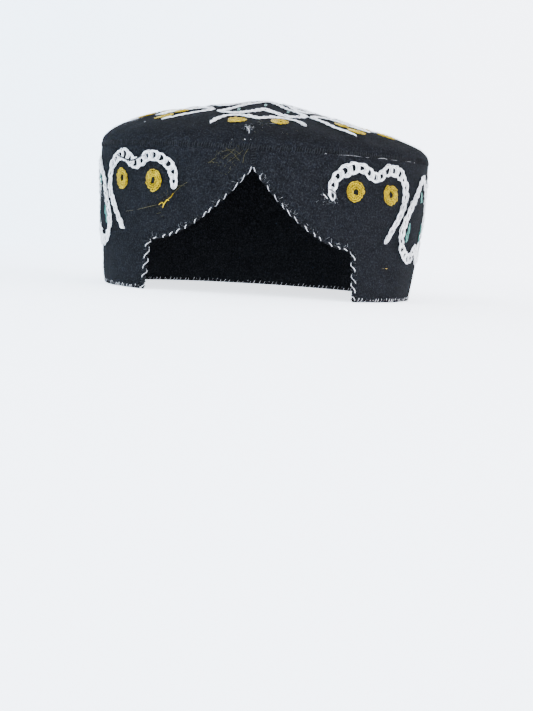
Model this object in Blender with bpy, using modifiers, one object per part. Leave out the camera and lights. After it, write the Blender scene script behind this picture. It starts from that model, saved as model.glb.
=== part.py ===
"""A Sindhi cap: a felt side wall with an arched opening at the front, a domed felt crown, a cord sewn
round the whole lower edge, and raised embroidery of white hearts and yellow rings.

Metres, +Z up, front of the cap towards -Y. The cap stands on its rim. The side wall is laid out flat
as (s, z): s runs round the cap from the middle of the front, positive to the wearer's left (+X), and
z is the height. The crown is laid out as its plan (x, y). One function wraps each layout onto the cap.
"""

import math

import bpy
import numpy as np

# Felt and the clearance that sewn pieces keep in this model
HAT_SIZE = 0.560  # inner circumference
FELT = 0.0025
CLEARANCE = 0.0003

# Side wall: a strip of constant length, squeezed to an oval at the rim by the head
WALL_HEIGHT = 0.075  # floor to the crown's seam
TOP_HALF_WIDTH = 0.0901
RIM_HALF_WIDTH = 0.0839

# Opening at the front: a pointed arch above a step at each side
ARCH_BELOW_SEAM = 0.010  # from the seam down to the arch's point
STEP_HEIGHT = 0.026
STEP_HALF_WIDTH = 0.058  # at the step's top, measured along the wall
FOOT_HALF_WIDTH = 0.0625  # at the rim
ARCH_BULGE = 0.94  # 0 is a straight side, 1 a parabola that ends level

# Crown: a shallow cone with a rounded tip and a round shoulder, on a short upright skirt
SKIRT_HEIGHT = 0.002
CROWN_RISE = 0.0270
CONE_SHARE = 0.74  # share of the rise that the cone takes
TIP_SHARE = 0.08  # rounding of the tip, as a share of the crown's reach
SHOULDER_POWER = 8.0
SHOULDER_ROUND = 2.0
CROWN_LEAN = 0.10  # share of the rise that moves from the +X side to the -X side

# Soft unevenness of the crown
# heading: degrees from the front towards +X; reach, spread: shares of the crown's reach; lift: of its rise
DENTS = (
    {"heading": -90.0, "reach": 0.66, "spread": 0.22, "lift": 0.067},
    {"heading": 90.0, "reach": 0.66, "spread": 0.22, "lift": -0.067},
)

# Cord along the lower edge
CORD_RADIUS = 0.0015

# Embroidery
STITCH_HEIGHT = 0.0010
RING_RADIUS = 0.0060
RING_HOLE_RADIUS = 0.0011
RING_SIDES = 12
BAND_WIDTH = 0.0062  # at the dip between a heart's lobes

# How the band narrows along half a heart, from the dip to the tail
# along: share of the half's length; width: share of the band's width at the dip
BAND_TAPER = (
    {"along": 0.0, "width": 1.00},
    {"along": 0.3, "width": 0.97},
    {"along": 0.6, "width": 0.77},
    {"along": 0.85, "width": 0.65},
    {"along": 1.0, "width": 0.55},
)

# Hearts on the side wall
PITCHES_TO_BACK = 5.25  # heart pitches from the middle of the front to the middle of the back
FIRST_HEART_PITCHES = 1.25  # from the middle of the front to the first heart
HEART_HALF_WIDTH_SHARE = 0.489  # share of the pitch
HEART_TOP_MARGIN = 0.0057  # seam to the middle of the band
HEART_HEIGHT = 0.0378
TURNED_TOP_MARGIN = 0.0075
TURNED_HEIGHT = 0.0442
TURNED_HALF_WIDTH_SHARE = 0.425  # share of the pitch
TURNED_FORWARD = 0.0035  # how far the turned hearts sit towards the front
SHORT_ARM_SHARE = 0.60  # how much of the arm beside the opening is sewn
RING_ACROSS_SHARE = 0.485  # ring's place, as a share of the heart's half width
RING_BELOW_LOBE = 0.0127

# Motifs on the crown, in sectors that alternate a large heart with a tall arch
# heading: degrees from the front towards +X; reach: scales the distances from the middle
# lean: how much farther out the sector's right side lies, for each unit across
CROWN_SECTORS = (
    {"heading": 0.0, "kind": "large_heart", "reach": 1.00, "lean": -0.10},
    {"heading": 55.0, "kind": "tall_arch", "reach": 1.00, "lean": 0.0},
    {"heading": 120.0, "kind": "large_heart", "reach": 1.00, "lean": 0.0},
    {"heading": 180.0, "kind": "tall_arch", "reach": 1.00, "lean": 0.0},
    {"heading": 240.0, "kind": "large_heart", "reach": 1.00, "lean": 0.0},
    {"heading": 298.0, "kind": "tall_arch", "reach": 0.93, "lean": 0.0},
)

# Where each kind's motifs lie and how wide they are, as shares of the crown's reach from its middle
CROWN_KINDS = {
    "large_heart": {
        "heart_point": 0.100,
        "heart_front": 0.535,
        "heart_half_width": 0.250,
        "arch_top": 0.612,
        "arch_end": 0.775,
        "arch_half_width": 0.265,
    },
    "tall_arch": {
        "heart_point": 0.120,
        "heart_front": 0.370,
        "heart_half_width": 0.105,
        "arch_top": 0.462,
        "arch_end": 0.840,
        "arch_half_width": 0.262,
    },
}

# The crown's rings, in mirrored pairs
# across, outward: shares of the crown's reach; size: against the wall's rings
CROWN_RINGS = {
    "large_heart": ({"across": 0.124, "outward": 0.755, "size": 0.90},),
    "tall_arch": (
        {"across": 0.150, "outward": 0.787, "size": 0.90},
        {"across": 0.116, "outward": 0.655, "size": 0.70},
    ),
}
CROWN_BAND_SIZE = 0.84  # against the wall's bands

# Half outlines, from the dip to the tail
# across: share of the half width; up: share of the height, 1 at the top of the lobe
OPEN_HEART = (
    {"across": 0.00, "up": 0.875},
    {"across": 0.14, "up": 0.905},
    {"across": 0.32, "up": 0.985},
    {"across": 0.60, "up": 0.980},
    {"across": 0.88, "up": 0.870},
    {"across": 1.00, "up": 0.690},
    {"across": 0.95, "up": 0.500},
    {"across": 0.79, "up": 0.300},
    {"across": 0.43, "up": 0.000},
)
CLOSED_HEART = (
    {"across": 0.00, "up": 0.860},
    {"across": 0.14, "up": 0.900},
    {"across": 0.34, "up": 0.985},
    {"across": 0.62, "up": 0.985},
    {"across": 0.89, "up": 0.890},
    {"across": 0.99, "up": 0.740},
    {"across": 0.89, "up": 0.530},
    {"across": 0.62, "up": 0.320},
    {"across": 0.23, "up": 0.090},
    {"across": 0.00, "up": 0.000},
)
LOW_ARCH = (
    {"across": 0.00, "up": 0.450},
    {"across": 0.16, "up": 0.660},
    {"across": 0.44, "up": 1.000},
    {"across": 0.68, "up": 0.880},
    {"across": 0.86, "up": 0.500},
    {"across": 1.00, "up": 0.000},
)
TALL_ARCH = (
    {"across": 0.00, "up": 0.200},
    {"across": 0.08, "up": 0.430},
    {"across": 0.14, "up": 0.700},
    {"across": 0.26, "up": 0.920},
    {"across": 0.45, "up": 1.000},
    {"across": 0.68, "up": 0.930},
    {"across": 0.87, "up": 0.730},
    {"across": 0.98, "up": 0.470},
    {"across": 1.00, "up": 0.240},
    {"across": 0.93, "up": 0.000},
)
CROWN_HEART = (
    {"across": 0.00, "up": 0.640},
    {"across": 0.22, "up": 0.840},
    {"across": 0.54, "up": 1.000},
    {"across": 0.87, "up": 0.950},
    {"across": 0.98, "up": 0.800},
    {"across": 0.80, "up": 0.620},
    {"across": 0.54, "up": 0.420},
    {"across": 0.26, "up": 0.180},
    {"across": 0.00, "up": 0.000},
)

# Mesh fineness
NOTCH_COLUMNS = 20
WALL_COLUMNS = 50
UPPER_ROWS = 3
FLAP_ROWS = 2
CROWN_COLUMNS = 48
CROWN_ROWS = (0.13, 0.32, 0.52, 0.70, 0.82, 0.90, 0.95, 0.98, 1.0)  # shares of the reach
CORD_SIDES = 6
CORD_STEP = 0.006  # along the rim
CORD_ARCH_STEPS = 14  # along half the arch
CORD_SIDE_STEPS = 4  # along a step's upright edge
CORD_BEND = (30, 60, 90)  # degrees turned at the points round a flap's corner
CURVE_SAMPLES = 12  # between two points of an outline
CREASE = 50  # degrees above which an edge is left sharp
SLOPE_STEP = 0.0001  # for measuring the crown's slope
HALF_HEART_STEPS = 13
HALF_ARCH_STEPS = {"large_heart": 10, "tall_arch": 14}

# Sizes that follow from those above
MEAN_RADIUS = HAT_SIZE / (2 * math.pi) + FELT
GIRTH = 2 * math.pi * MEAN_RADIUS
SKIRT_BOTTOM = WALL_HEIGHT + CLEARANCE
SKIRT_TOP = SKIRT_BOTTOM + SKIRT_HEIGHT
FELT_INSET = 2 * CORD_RADIUS + CLEARANCE  # from the opening's outline to the felt's edge
HEART_PITCH = GIRTH / 2 / PITCHES_TO_BACK
HEART_HALF_WIDTH = HEART_PITCH * HEART_HALF_WIDTH_SHARE
TURNED_HALF_WIDTH = HEART_PITCH * TURNED_HALF_WIDTH_SHARE
WALL_HEARTS = round(2 * (PITCHES_TO_BACK - FIRST_HEART_PITCHES)) + 1
ARCH_POINT = WALL_HEIGHT - ARCH_BELOW_SEAM

MATERIALS = {
    "black_felt": {"color": (0.016, 0.017, 0.021), "roughness": 0.95},
    "edge_thread": {"color": (0.10, 0.10, 0.11), "roughness": 0.85},
    "white_wool": {"color": (0.80, 0.81, 0.82), "roughness": 0.80},
    "yellow_floss": {"color": (0.80, 0.52, 0.02), "roughness": 0.45},
}


def half_axes(z):
    """Half width and half depth of the wall's outer face. Its girth is the same at every height."""
    share = np.clip(np.asarray(z, float) / WALL_HEIGHT, 0.0, 1.0)
    across = RIM_HALF_WIDTH + (TOP_HALF_WIDTH - RIM_HALF_WIDTH) * np.sin(share * math.pi / 2)
    return across, np.sqrt(2 * MEAN_RADIUS**2 - across**2)


def on_wall(s, z, out=0.0):
    """The point of the wall's outer face at (s, z), moved out by a distance."""
    across, deep = half_axes(z)
    turn = np.asarray(s, float) / MEAN_RADIUS
    squeeze = (deep**2 - across**2) / (8 * MEAN_RADIUS**2)
    angle = turn + squeeze * np.sin(2 * turn)
    face = np.stack([np.sin(angle) / across, -np.cos(angle) / deep], -1)
    face /= np.linalg.norm(face, axis=-1)[..., None]
    x = across * np.sin(angle) + out * face[..., 0]
    y = -deep * np.cos(angle) + out * face[..., 1]
    return np.stack([x, y, np.asarray(z, float) + 0 * x], -1)


def crown_height(x, y):
    """Height of the crown's outer face over its plan."""
    across, deep = half_axes(WALL_HEIGHT)
    reach = np.clip(np.hypot(np.asarray(x) / across, np.asarray(y) / deep), 0.0, 1.0)
    cone = 1 - CONE_SHARE * (np.sqrt(reach**2 + TIP_SHARE**2) - TIP_SHARE)
    lean = 1 - CROWN_LEAN * np.asarray(x) / across
    height = CROWN_RISE * cone * lean * (1 - reach**SHOULDER_POWER) ** (1 / SHOULDER_ROUND)
    for dent in DENTS:
        heading = math.radians(dent["heading"])
        away = np.hypot(
            np.asarray(x) / across - dent["reach"] * math.sin(heading),
            np.asarray(y) / deep + dent["reach"] * math.cos(heading),
        )
        height = height + dent["lift"] * CROWN_RISE * np.exp(-((away / dent["spread"]) ** 2)) * (1 - reach**4)
    return SKIRT_TOP + height


def on_crown(x, y, out=0.0):
    """The point of the crown's outer face over (x, y), moved out along its normal."""
    x, y = np.asarray(x, float), np.asarray(y, float)
    slope_x = (crown_height(x + SLOPE_STEP, y) - crown_height(x - SLOPE_STEP, y)) / (2 * SLOPE_STEP)
    slope_y = (crown_height(x, y + SLOPE_STEP) - crown_height(x, y - SLOPE_STEP)) / (2 * SLOPE_STEP)
    face = np.stack([-slope_x, -slope_y, np.ones_like(slope_x)], -1)
    face /= np.linalg.norm(face, axis=-1)[..., None]
    return np.stack([x, y, crown_height(x, y)], -1) + out * face


def smooth(points, steps):
    """A smooth curve through the points, as evenly spaced points."""
    points = np.asarray(points, float)
    padded = np.vstack([2 * points[0] - points[1], points, 2 * points[-1] - points[-2]])
    fine = []
    for a, b, c, d in zip(padded, padded[1:], padded[2:], padded[3:]):
        for t in np.linspace(0, 1, CURVE_SAMPLES, endpoint=False):
            bend = 2 * a - 5 * b + 4 * c - d
            twist = 3 * b - a - 3 * c + d
            fine.append(b + 0.5 * ((c - a) * t + bend * t**2 + twist * t**3))
    fine = np.array([*fine, points[-1]])
    run = np.concatenate([[0], np.cumsum(np.linalg.norm(np.diff(fine, axis=0), axis=1))])
    wanted = np.linspace(0, run[-1], steps + 1)
    return np.column_stack([np.interp(wanted, run, column) for column in fine.T])


def arch_outline(inset, count):
    """Half of the opening's arch as (s, z), from its point to the step's corner, moved into the felt."""
    share = np.linspace(0, 1, count)
    rise = ARCH_POINT - STEP_HEIGHT
    s = STEP_HALF_WIDTH * share
    z = STEP_HEIGHT + rise * (ARCH_BULGE * (1 - share) ** 2 + (1 - ARCH_BULGE) * (1 - share))
    slope = -rise / STEP_HALF_WIDTH * (2 * ARCH_BULGE * (1 - share) + 1 - ARCH_BULGE)
    stretch = np.sqrt(1 + slope**2)
    s_in, z_in = s - inset * slope / stretch, z + inset / stretch
    point = (0.0, ARCH_POINT + inset * stretch[0])
    corner_s = side_outline(STEP_HEIGHT + inset, inset)
    corner = (corner_s, z_in[-1] + slope[-1] * (corner_s - s_in[-1]))
    inside = s_in < corner_s - CLEARANCE
    return np.array([point, *zip(s_in[inside], z_in[inside]), corner])


def side_outline(z, inset):
    """Distance along the wall from the front's middle to the step's upright edge, moved into the felt."""
    lean = (FOOT_HALF_WIDTH - STEP_HALF_WIDTH) / STEP_HEIGHT
    return FOOT_HALF_WIDTH - lean * z + inset * math.sqrt(1 + lean**2)


def add_object(name, points, faces, material, collection, root):
    """An object from points and faces, smooth except at its sharp edges."""
    mesh = bpy.data.meshes.new(name)
    mesh.from_pydata([tuple(p) for p in points], [], faces)
    mesh.materials.append(bpy.data.materials[material])
    mesh.shade_smooth()
    mesh.set_sharp_from_angle(angle=math.radians(CREASE))
    piece = bpy.data.objects.new(name, mesh)
    collection.objects.link(piece)
    piece.parent = root
    return piece


def thicken(piece, thickness, inward):
    """Gives an open sheet its thickness, kept on one side of the sheet."""
    solid = piece.modifiers.new("thickness", "SOLIDIFY")
    solid.thickness = thickness
    solid.offset = -1.0 if inward else 1.0
    solid.use_even_offset = True


def side_wall(collection, root):
    """The felt strip: a full band above the steps, and the flaps' part below them."""
    arch = arch_outline(FELT_INSET, count=NOTCH_COLUMNS)
    corner_s, corner_z = arch[-1]
    front = np.linspace(-corner_s, corner_s, NOTCH_COLUMNS + 1)
    rest = np.linspace(corner_s, GIRTH - corner_s, WALL_COLUMNS + 1)
    columns = np.concatenate([front, rest[1:-1]])
    low = np.interp(np.abs(columns), arch[:, 0], arch[:, 1])
    points, faces = [], []
    for row in range(UPPER_ROWS + 1):
        z = low + (WALL_HEIGHT - low) * row / UPPER_ROWS
        points.extend(on_wall(columns, z))
    around = len(columns)
    for row in range(UPPER_ROWS):
        for k in range(around):
            a, b = row * around + k, row * around + (k + 1) % around
            faces.append((a, b, b + around, a + around))
    # The flaps hang from the upper part's lowest row, behind the steps
    above = [(NOTCH_COLUMNS + k) % around for k in range(WALL_COLUMNS + 1)]
    foot_z = FELT_INSET
    for row in range(1, FLAP_ROWS + 1):
        z = corner_z + (foot_z - corner_z) * row / FLAP_ROWS
        edge_s = side_outline(z, FELT_INSET)
        start = len(points)
        across = np.linspace(edge_s, GIRTH - edge_s, WALL_COLUMNS + 1)
        points.extend(on_wall(across, np.full(len(across), z)))
        below = list(range(start, start + WALL_COLUMNS + 1))
        for k in range(WALL_COLUMNS):
            faces.append((below[k], below[k + 1], above[k + 1], above[k]))
        above = below
    wall = add_object("side_wall", points, faces, "black_felt", collection, root)
    thicken(wall, FELT, inward=True)
    return wall


def crown(collection, root):
    """The domed felt top on its short skirt."""
    across, deep = half_axes(WALL_HEIGHT)
    angle = np.linspace(0, 2 * math.pi, CROWN_COLUMNS, endpoint=False)
    outline = np.stack([across * np.sin(angle), -deep * np.cos(angle)], -1)
    points = [on_crown(0.0, 0.0)]
    for share in CROWN_ROWS:
        ring = outline * share
        points.extend(np.column_stack([ring, crown_height(ring[:, 0], ring[:, 1])]))
    points.extend(np.column_stack([outline, np.full(CROWN_COLUMNS, SKIRT_BOTTOM)]))
    faces = [(0, 1 + k, 1 + (k + 1) % CROWN_COLUMNS) for k in range(CROWN_COLUMNS)]
    for row in range(len(CROWN_ROWS)):
        for k in range(CROWN_COLUMNS):
            a = 1 + row * CROWN_COLUMNS + k
            b = 1 + row * CROWN_COLUMNS + (k + 1) % CROWN_COLUMNS
            faces.append((a + CROWN_COLUMNS, b + CROWN_COLUMNS, b, a))
    top = add_object("crown", points, faces, "black_felt", collection, root)
    thicken(top, FELT, inward=True)
    return top


def cord_route():
    """The cord's middle line as (s, z) and the direction from it into the felt, once round the cap."""
    arch = arch_outline(CORD_RADIUS, count=CORD_ARCH_STEPS)
    foot = CORD_RADIUS
    foot_s = side_outline(foot, CORD_RADIUS)
    turn = CORD_RADIUS + CLEARANCE
    # Down the right side of the opening, round the flap's corner and along the rim to the middle of the back
    side_z = np.linspace(arch[-1][1] - turn, foot + turn, CORD_SIDE_STEPS)
    side = [(side_outline(z, CORD_RADIUS), z) for z in side_z]
    bend = [
        (foot_s + turn * (1 - math.cos(a)), foot + turn * (1 - math.sin(a)))
        for a in np.radians(CORD_BEND)
    ]
    rim_count = math.ceil((GIRTH / 2 - foot_s) / CORD_STEP)
    rim = [(s, foot) for s in np.linspace(bend[-1][0], GIRTH / 2, rim_count + 1)[1:]]
    half = [tuple(p) for p in arch[:-1]] + side + bend + rim
    other = [(GIRTH - s, z) for s, z in reversed(half[1:-1])]
    route = np.array(half + other)
    ahead = np.roll(route, -1, axis=0) - route
    ahead[:, 0] = (ahead[:, 0] + GIRTH / 2) % GIRTH - GIRTH / 2
    ahead /= np.linalg.norm(ahead, axis=1)[:, None]
    tangent = ahead + np.roll(ahead, 1, axis=0)
    tangent /= np.linalg.norm(tangent, axis=1)[:, None]
    return route, np.column_stack([-tangent[:, 1], tangent[:, 0]]), ahead


def edge_cord(collection, root):
    """The cord along the whole lower edge. Its section has flats, so that the rim stands on one."""
    route, inward, ahead = cord_route()
    # A mitre keeps the cord's thickness where its route turns
    mitre = np.abs(ahead[:, 0] * inward[:, 1] - ahead[:, 1] * inward[:, 0])
    corner = CORD_RADIUS / math.cos(math.pi / CORD_SIDES)
    points, faces = [], []
    for (s, z), (in_s, in_z), cut in zip(route, inward, mitre):
        for side in range(CORD_SIDES):
            angle = 2 * math.pi * (side + 0.5) / CORD_SIDES
            up = corner * math.cos(angle) / cut
            out = corner * math.sin(angle) - FELT / 2
            points.append(on_wall(s + in_s * up, z + in_z * up, out))
    count = len(route)
    for k in range(count):
        for side in range(CORD_SIDES):
            a = k * CORD_SIDES + side
            b = k * CORD_SIDES + (side + 1) % CORD_SIDES
            c = (k + 1) % count * CORD_SIDES + (side + 1) % CORD_SIDES
            d = (k + 1) % count * CORD_SIDES + side
            faces.append((a, b, c, d))
    return add_object("edge_cord", points, faces, "edge_thread", collection, root)


def band(name, path, widths, place, collection, root, material="white_wool", closed=False):
    """A raised band of stitches along a flat path, wrapped onto the cap by place."""
    path, widths = np.asarray(path, float), np.asarray(widths, float)
    if closed:
        tangent = np.roll(path, -1, axis=0) - np.roll(path, 1, axis=0)
    else:
        tangent = np.gradient(path, axis=0)
    tangent /= np.linalg.norm(tangent, axis=1)[:, None]
    left = np.column_stack([-tangent[:, 1], tangent[:, 0]]) * widths[:, None] / 2
    near, far = path - left, path + left
    points = np.vstack([place(near[:, 0], near[:, 1], CLEARANCE), place(far[:, 0], far[:, 1], CLEARANCE)])
    count = len(path)
    spans = count if closed else count - 1
    faces = [(k, (k + 1) % count, count + (k + 1) % count, count + k) for k in range(spans)]
    piece = add_object(name, points, faces, material, collection, root)
    thicken(piece, STITCH_HEIGHT, inward=False)
    return piece


def ring(name, middle, size, place, collection, root):
    """A raised ring of yellow stitches round a small hole."""
    outer, hole = RING_RADIUS * size, RING_HOLE_RADIUS * size
    angle = np.linspace(0, 2 * math.pi, RING_SIDES, endpoint=False)
    radius = (outer + hole) / 2
    path = np.column_stack([middle[0] + radius * np.cos(angle), middle[1] + radius * np.sin(angle)])
    widths = np.full(RING_SIDES, outer - hole)
    return band(name, path, widths, place, collection, root, material="yellow_floss", closed=True)


def band_widths(count, size):
    """Widths at evenly spaced places from the dip to the tail."""
    along = [row["along"] for row in BAND_TAPER]
    width = [row["width"] * BAND_WIDTH * size for row in BAND_TAPER]
    return np.interp(np.linspace(0, 1, count), along, width)


def half_outline(table, half_width, height, steps):
    """Half a motif's middle line, from the dip to the tail, standing on a height of 0."""
    return smooth([(row["across"] * half_width, row["up"] * height) for row in table], steps)


def whole_outline(half, size, closed, short_left=1.0, short_right=1.0):
    """The whole middle line with its widths: the left arm, the dip and the right arm."""
    widths = band_widths(len(half), size)
    keep_left = max(2, round((len(half) - 1) * short_left) + 1)
    keep_right = max(2, round((len(half) - 1) * short_right) + 1)
    mirrored = half * (-1, 1)
    right_end = keep_right - 1 if closed else keep_right
    path = np.vstack([mirrored[1:keep_left][::-1], half[:right_end]])
    width = np.concatenate([widths[1:keep_left][::-1], widths[:right_end]])
    return path, width


def wall_motifs(collection, root):
    """Hearts with their rings round the wall, every second one turned upside down."""
    half_open = half_outline(OPEN_HEART, HEART_HALF_WIDTH, HEART_HEIGHT, HALF_HEART_STEPS)
    half_turned = half_outline(CLOSED_HEART, TURNED_HALF_WIDTH, TURNED_HEIGHT, HALF_HEART_STEPS)
    rings = 0
    for number in range(1, WALL_HEARTS + 1):
        name = f"wall_heart_{number}"
        s = (FIRST_HEART_PITCHES + number - 1) * HEART_PITCH
        if number % 2 == 0:
            path, width = whole_outline(half_turned, 1.0, closed=True)
            s += TURNED_FORWARD if s > GIRTH / 2 else -TURNED_FORWARD
            top = WALL_HEIGHT - TURNED_TOP_MARGIN
            flat = np.column_stack([s - path[:, 0], top - path[:, 1]])
            band(name, flat, width, on_wall, collection, root, closed=True)
            continue
        short_left = SHORT_ARM_SHARE if number == 1 else 1.0
        short_right = SHORT_ARM_SHARE if number == WALL_HEARTS else 1.0
        path, width = whole_outline(half_open, 1.0, False, short_left, short_right)
        foot = WALL_HEIGHT - HEART_TOP_MARGIN - HEART_HEIGHT
        band(name, path + (s, foot), width, on_wall, collection, root)
        for side in (-1, 1):
            rings += 1
            middle = (
                s + side * RING_ACROSS_SHARE * HEART_HALF_WIDTH,
                WALL_HEIGHT - HEART_TOP_MARGIN - RING_BELOW_LOBE,
            )
            ring(f"wall_ring_{rings}", middle, 1.0, on_wall, collection, root)


def sector_to_plan(across, outward, sector):
    """Plan (x, y) of a place in a crown sector, given as shares of the crown's reach."""
    half_width, half_depth = half_axes(WALL_HEIGHT)
    heading = math.radians(sector["heading"])
    outward = outward * sector["reach"] + across * sector["lean"]
    x = outward * np.sin(heading) + across * np.cos(heading)
    y = -outward * np.cos(heading) + across * np.sin(heading)
    return x * half_width, y * half_depth


def crown_motifs(collection, root):
    """In each sector an arch with its rings, and a heart that points to the crown's middle."""
    arches = {"large_heart": LOW_ARCH, "tall_arch": TALL_ARCH}
    rings = 0
    for number, sector in enumerate(CROWN_SECTORS, start=1):
        kind = sector["kind"]
        size = CROWN_KINDS[kind]
        height = size["arch_end"] - size["arch_top"]
        half = half_outline(arches[kind], size["arch_half_width"], height, HALF_ARCH_STEPS[kind])
        path, width = whole_outline(half, CROWN_BAND_SIZE, closed=False)
        plan = sector_to_plan(path[:, 0], size["arch_end"] - path[:, 1], sector)
        band(f"crown_arch_{number}", np.column_stack(plan), width, on_crown, collection, root)
        height = size["heart_front"] - size["heart_point"]
        half = half_outline(CROWN_HEART, size["heart_half_width"], height, HALF_HEART_STEPS)
        path, width = whole_outline(half, CROWN_BAND_SIZE, closed=True)
        plan = sector_to_plan(path[:, 0], size["heart_point"] + path[:, 1], sector)
        plan = np.column_stack(plan)
        band(f"crown_heart_{number}", plan, width, on_crown, collection, root, closed=True)
        for place in CROWN_RINGS[kind]:
            for side in (-1, 1):
                rings += 1
                middle = sector_to_plan(side * place["across"], place["outward"], sector)
                ring(f"crown_ring_{rings}", middle, place["size"], on_crown, collection, root)


def add_materials():
    """One plain material for each kind of cloth or thread."""
    for name, look in MATERIALS.items():
        material = bpy.data.materials.new(name)
        material.use_nodes = True
        shader = material.node_tree.nodes["Principled BSDF"]
        shader.inputs["Base Color"].default_value = (*look["color"], 1.0)
        shader.inputs["Roughness"].default_value = look["roughness"]
        shader.inputs["Metallic"].default_value = 0.0
        material.diffuse_color = (*look["color"], 1.0)


def centre_on_origin(collection, root):
    """Puts the origin under the middle of the cap, on the surface that it stands on."""
    bpy.context.view_layer.update()
    graph = bpy.context.evaluated_depsgraph_get()
    corners = []
    for piece in collection.objects:
        if piece.type == "MESH":
            seen = piece.evaluated_get(graph)
            corners.extend(seen.matrix_world @ vertex.co for vertex in seen.data.vertices)
    corners = np.array(corners)
    low, high = corners.min(axis=0), corners.max(axis=0)
    root.location = (-(low[0] + high[0]) / 2, -(low[1] + high[1]) / 2, -low[2])
    bpy.context.view_layer.update()


def main():
    for old in list(bpy.data.objects):
        bpy.data.objects.remove(old, do_unlink=True)
    collection = bpy.data.collections.new("sindhi_cap")
    bpy.context.scene.collection.children.link(collection)
    root = bpy.data.objects.new("cap_origin", None)
    collection.objects.link(root)
    add_materials()
    side_wall(collection, root)
    crown(collection, root)
    edge_cord(collection, root)
    wall_motifs(collection, root)
    crown_motifs(collection, root)
    centre_on_origin(collection, root)


main()
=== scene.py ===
"""The looks of the Sindhi cap: felt with fibres, chain-stitched bands and rings, overcast edges, lights and camera.

Metres, +Z up, the front of the cap towards -Y. As in the frame, the side wall is laid out flat as (s, z),
s round the cap from the middle of the front, and the crown as its plan (x, y).
"""

import math

import bmesh
import bpy
import numpy as np
from mathutils import Matrix, Vector


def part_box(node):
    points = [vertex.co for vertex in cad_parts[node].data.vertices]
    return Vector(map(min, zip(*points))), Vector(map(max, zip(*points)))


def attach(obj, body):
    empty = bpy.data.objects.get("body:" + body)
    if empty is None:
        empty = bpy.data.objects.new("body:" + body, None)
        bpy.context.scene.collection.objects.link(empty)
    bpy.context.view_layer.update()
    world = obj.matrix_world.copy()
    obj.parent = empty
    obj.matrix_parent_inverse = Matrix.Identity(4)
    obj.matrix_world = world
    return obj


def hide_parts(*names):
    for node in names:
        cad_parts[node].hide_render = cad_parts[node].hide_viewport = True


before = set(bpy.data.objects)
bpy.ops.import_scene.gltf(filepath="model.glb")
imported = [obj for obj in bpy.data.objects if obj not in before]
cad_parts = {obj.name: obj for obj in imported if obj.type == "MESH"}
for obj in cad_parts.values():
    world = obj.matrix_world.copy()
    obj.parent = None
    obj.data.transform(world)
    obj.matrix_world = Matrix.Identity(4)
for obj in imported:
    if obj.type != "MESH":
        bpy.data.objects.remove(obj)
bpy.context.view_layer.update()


def table(columns, *rows):
    """Rows of values with the names of their columns."""
    return [dict(zip(columns.split(), row)) for row in rows]


# Felt, as in the frame
HAT_SIZE = 0.560
FELT = 0.0025
CLEARANCE = 0.0003
WALL_HEIGHT = 0.075
TOP_HALF_WIDTH = 0.0901
RIM_HALF_WIDTH = 0.0839
ARCH_BELOW_SEAM = 0.010
STEP_HEIGHT = 0.026
STEP_HALF_WIDTH = 0.058
FOOT_HALF_WIDTH = 0.0625
ARCH_BULGE = 0.94
SKIRT_HEIGHT = 0.002
CROWN_RISE = 0.0270
CONE_SHARE = 0.74
TIP_SHARE = 0.08
SHOULDER_POWER = 8.0
SHOULDER_ROUND = 2.0
CROWN_LEAN = 0.10
DENTS = table(
    "heading reach spread lift",
    (-90.0, 0.66, 0.22, 0.067),
    (90.0, 0.66, 0.22, -0.067),
)

# Embroidery's layout, as in the frame
RING_RADIUS = 0.0060
RING_HOLE_RADIUS = 0.0011
BAND_WIDTH = 0.0062
BAND_TAPER = table(
    "along width",
    (0.0, 1.00),
    (0.3, 0.97),
    (0.6, 0.77),
    (0.85, 0.65),
    (1.0, 0.55),
)
PITCHES_TO_BACK = 5.25
FIRST_HEART_PITCHES = 1.25
HEART_HALF_WIDTH_SHARE = 0.489
HEART_TOP_MARGIN = 0.0057
HEART_HEIGHT = 0.0378
TURNED_TOP_MARGIN = 0.0075
TURNED_HEIGHT = 0.0442
TURNED_HALF_WIDTH_SHARE = 0.425
TURNED_FORWARD = 0.0035
SHORT_ARM_SHARE = 0.60
RING_ACROSS_SHARE = 0.485
RING_BELOW_LOBE = 0.0127
CROWN_SECTORS = table(
    "heading kind reach lean",
    (0.0, "large_heart", 1.00, -0.10),
    (55.0, "tall_arch", 1.00, 0.0),
    (120.0, "large_heart", 1.00, 0.0),
    (180.0, "tall_arch", 1.00, 0.0),
    (240.0, "large_heart", 1.00, 0.0),
    (298.0, "tall_arch", 0.93, 0.0),
)
CROWN_KINDS = {
    "large_heart": {
        "heart_point": 0.100,
        "heart_front": 0.535,
        "heart_half_width": 0.250,
        "arch_top": 0.612,
        "arch_end": 0.775,
        "arch_half_width": 0.265,
    },
    "tall_arch": {
        "heart_point": 0.120,
        "heart_front": 0.370,
        "heart_half_width": 0.105,
        "arch_top": 0.462,
        "arch_end": 0.840,
        "arch_half_width": 0.262,
    },
}
CROWN_RINGS = table(
    "kind across outward size",
    ("large_heart", 0.124, 0.755, 0.90),
    ("tall_arch", 0.150, 0.787, 0.90),
    ("tall_arch", 0.116, 0.655, 0.70),
)
CROWN_BAND_SIZE = 0.84

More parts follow.
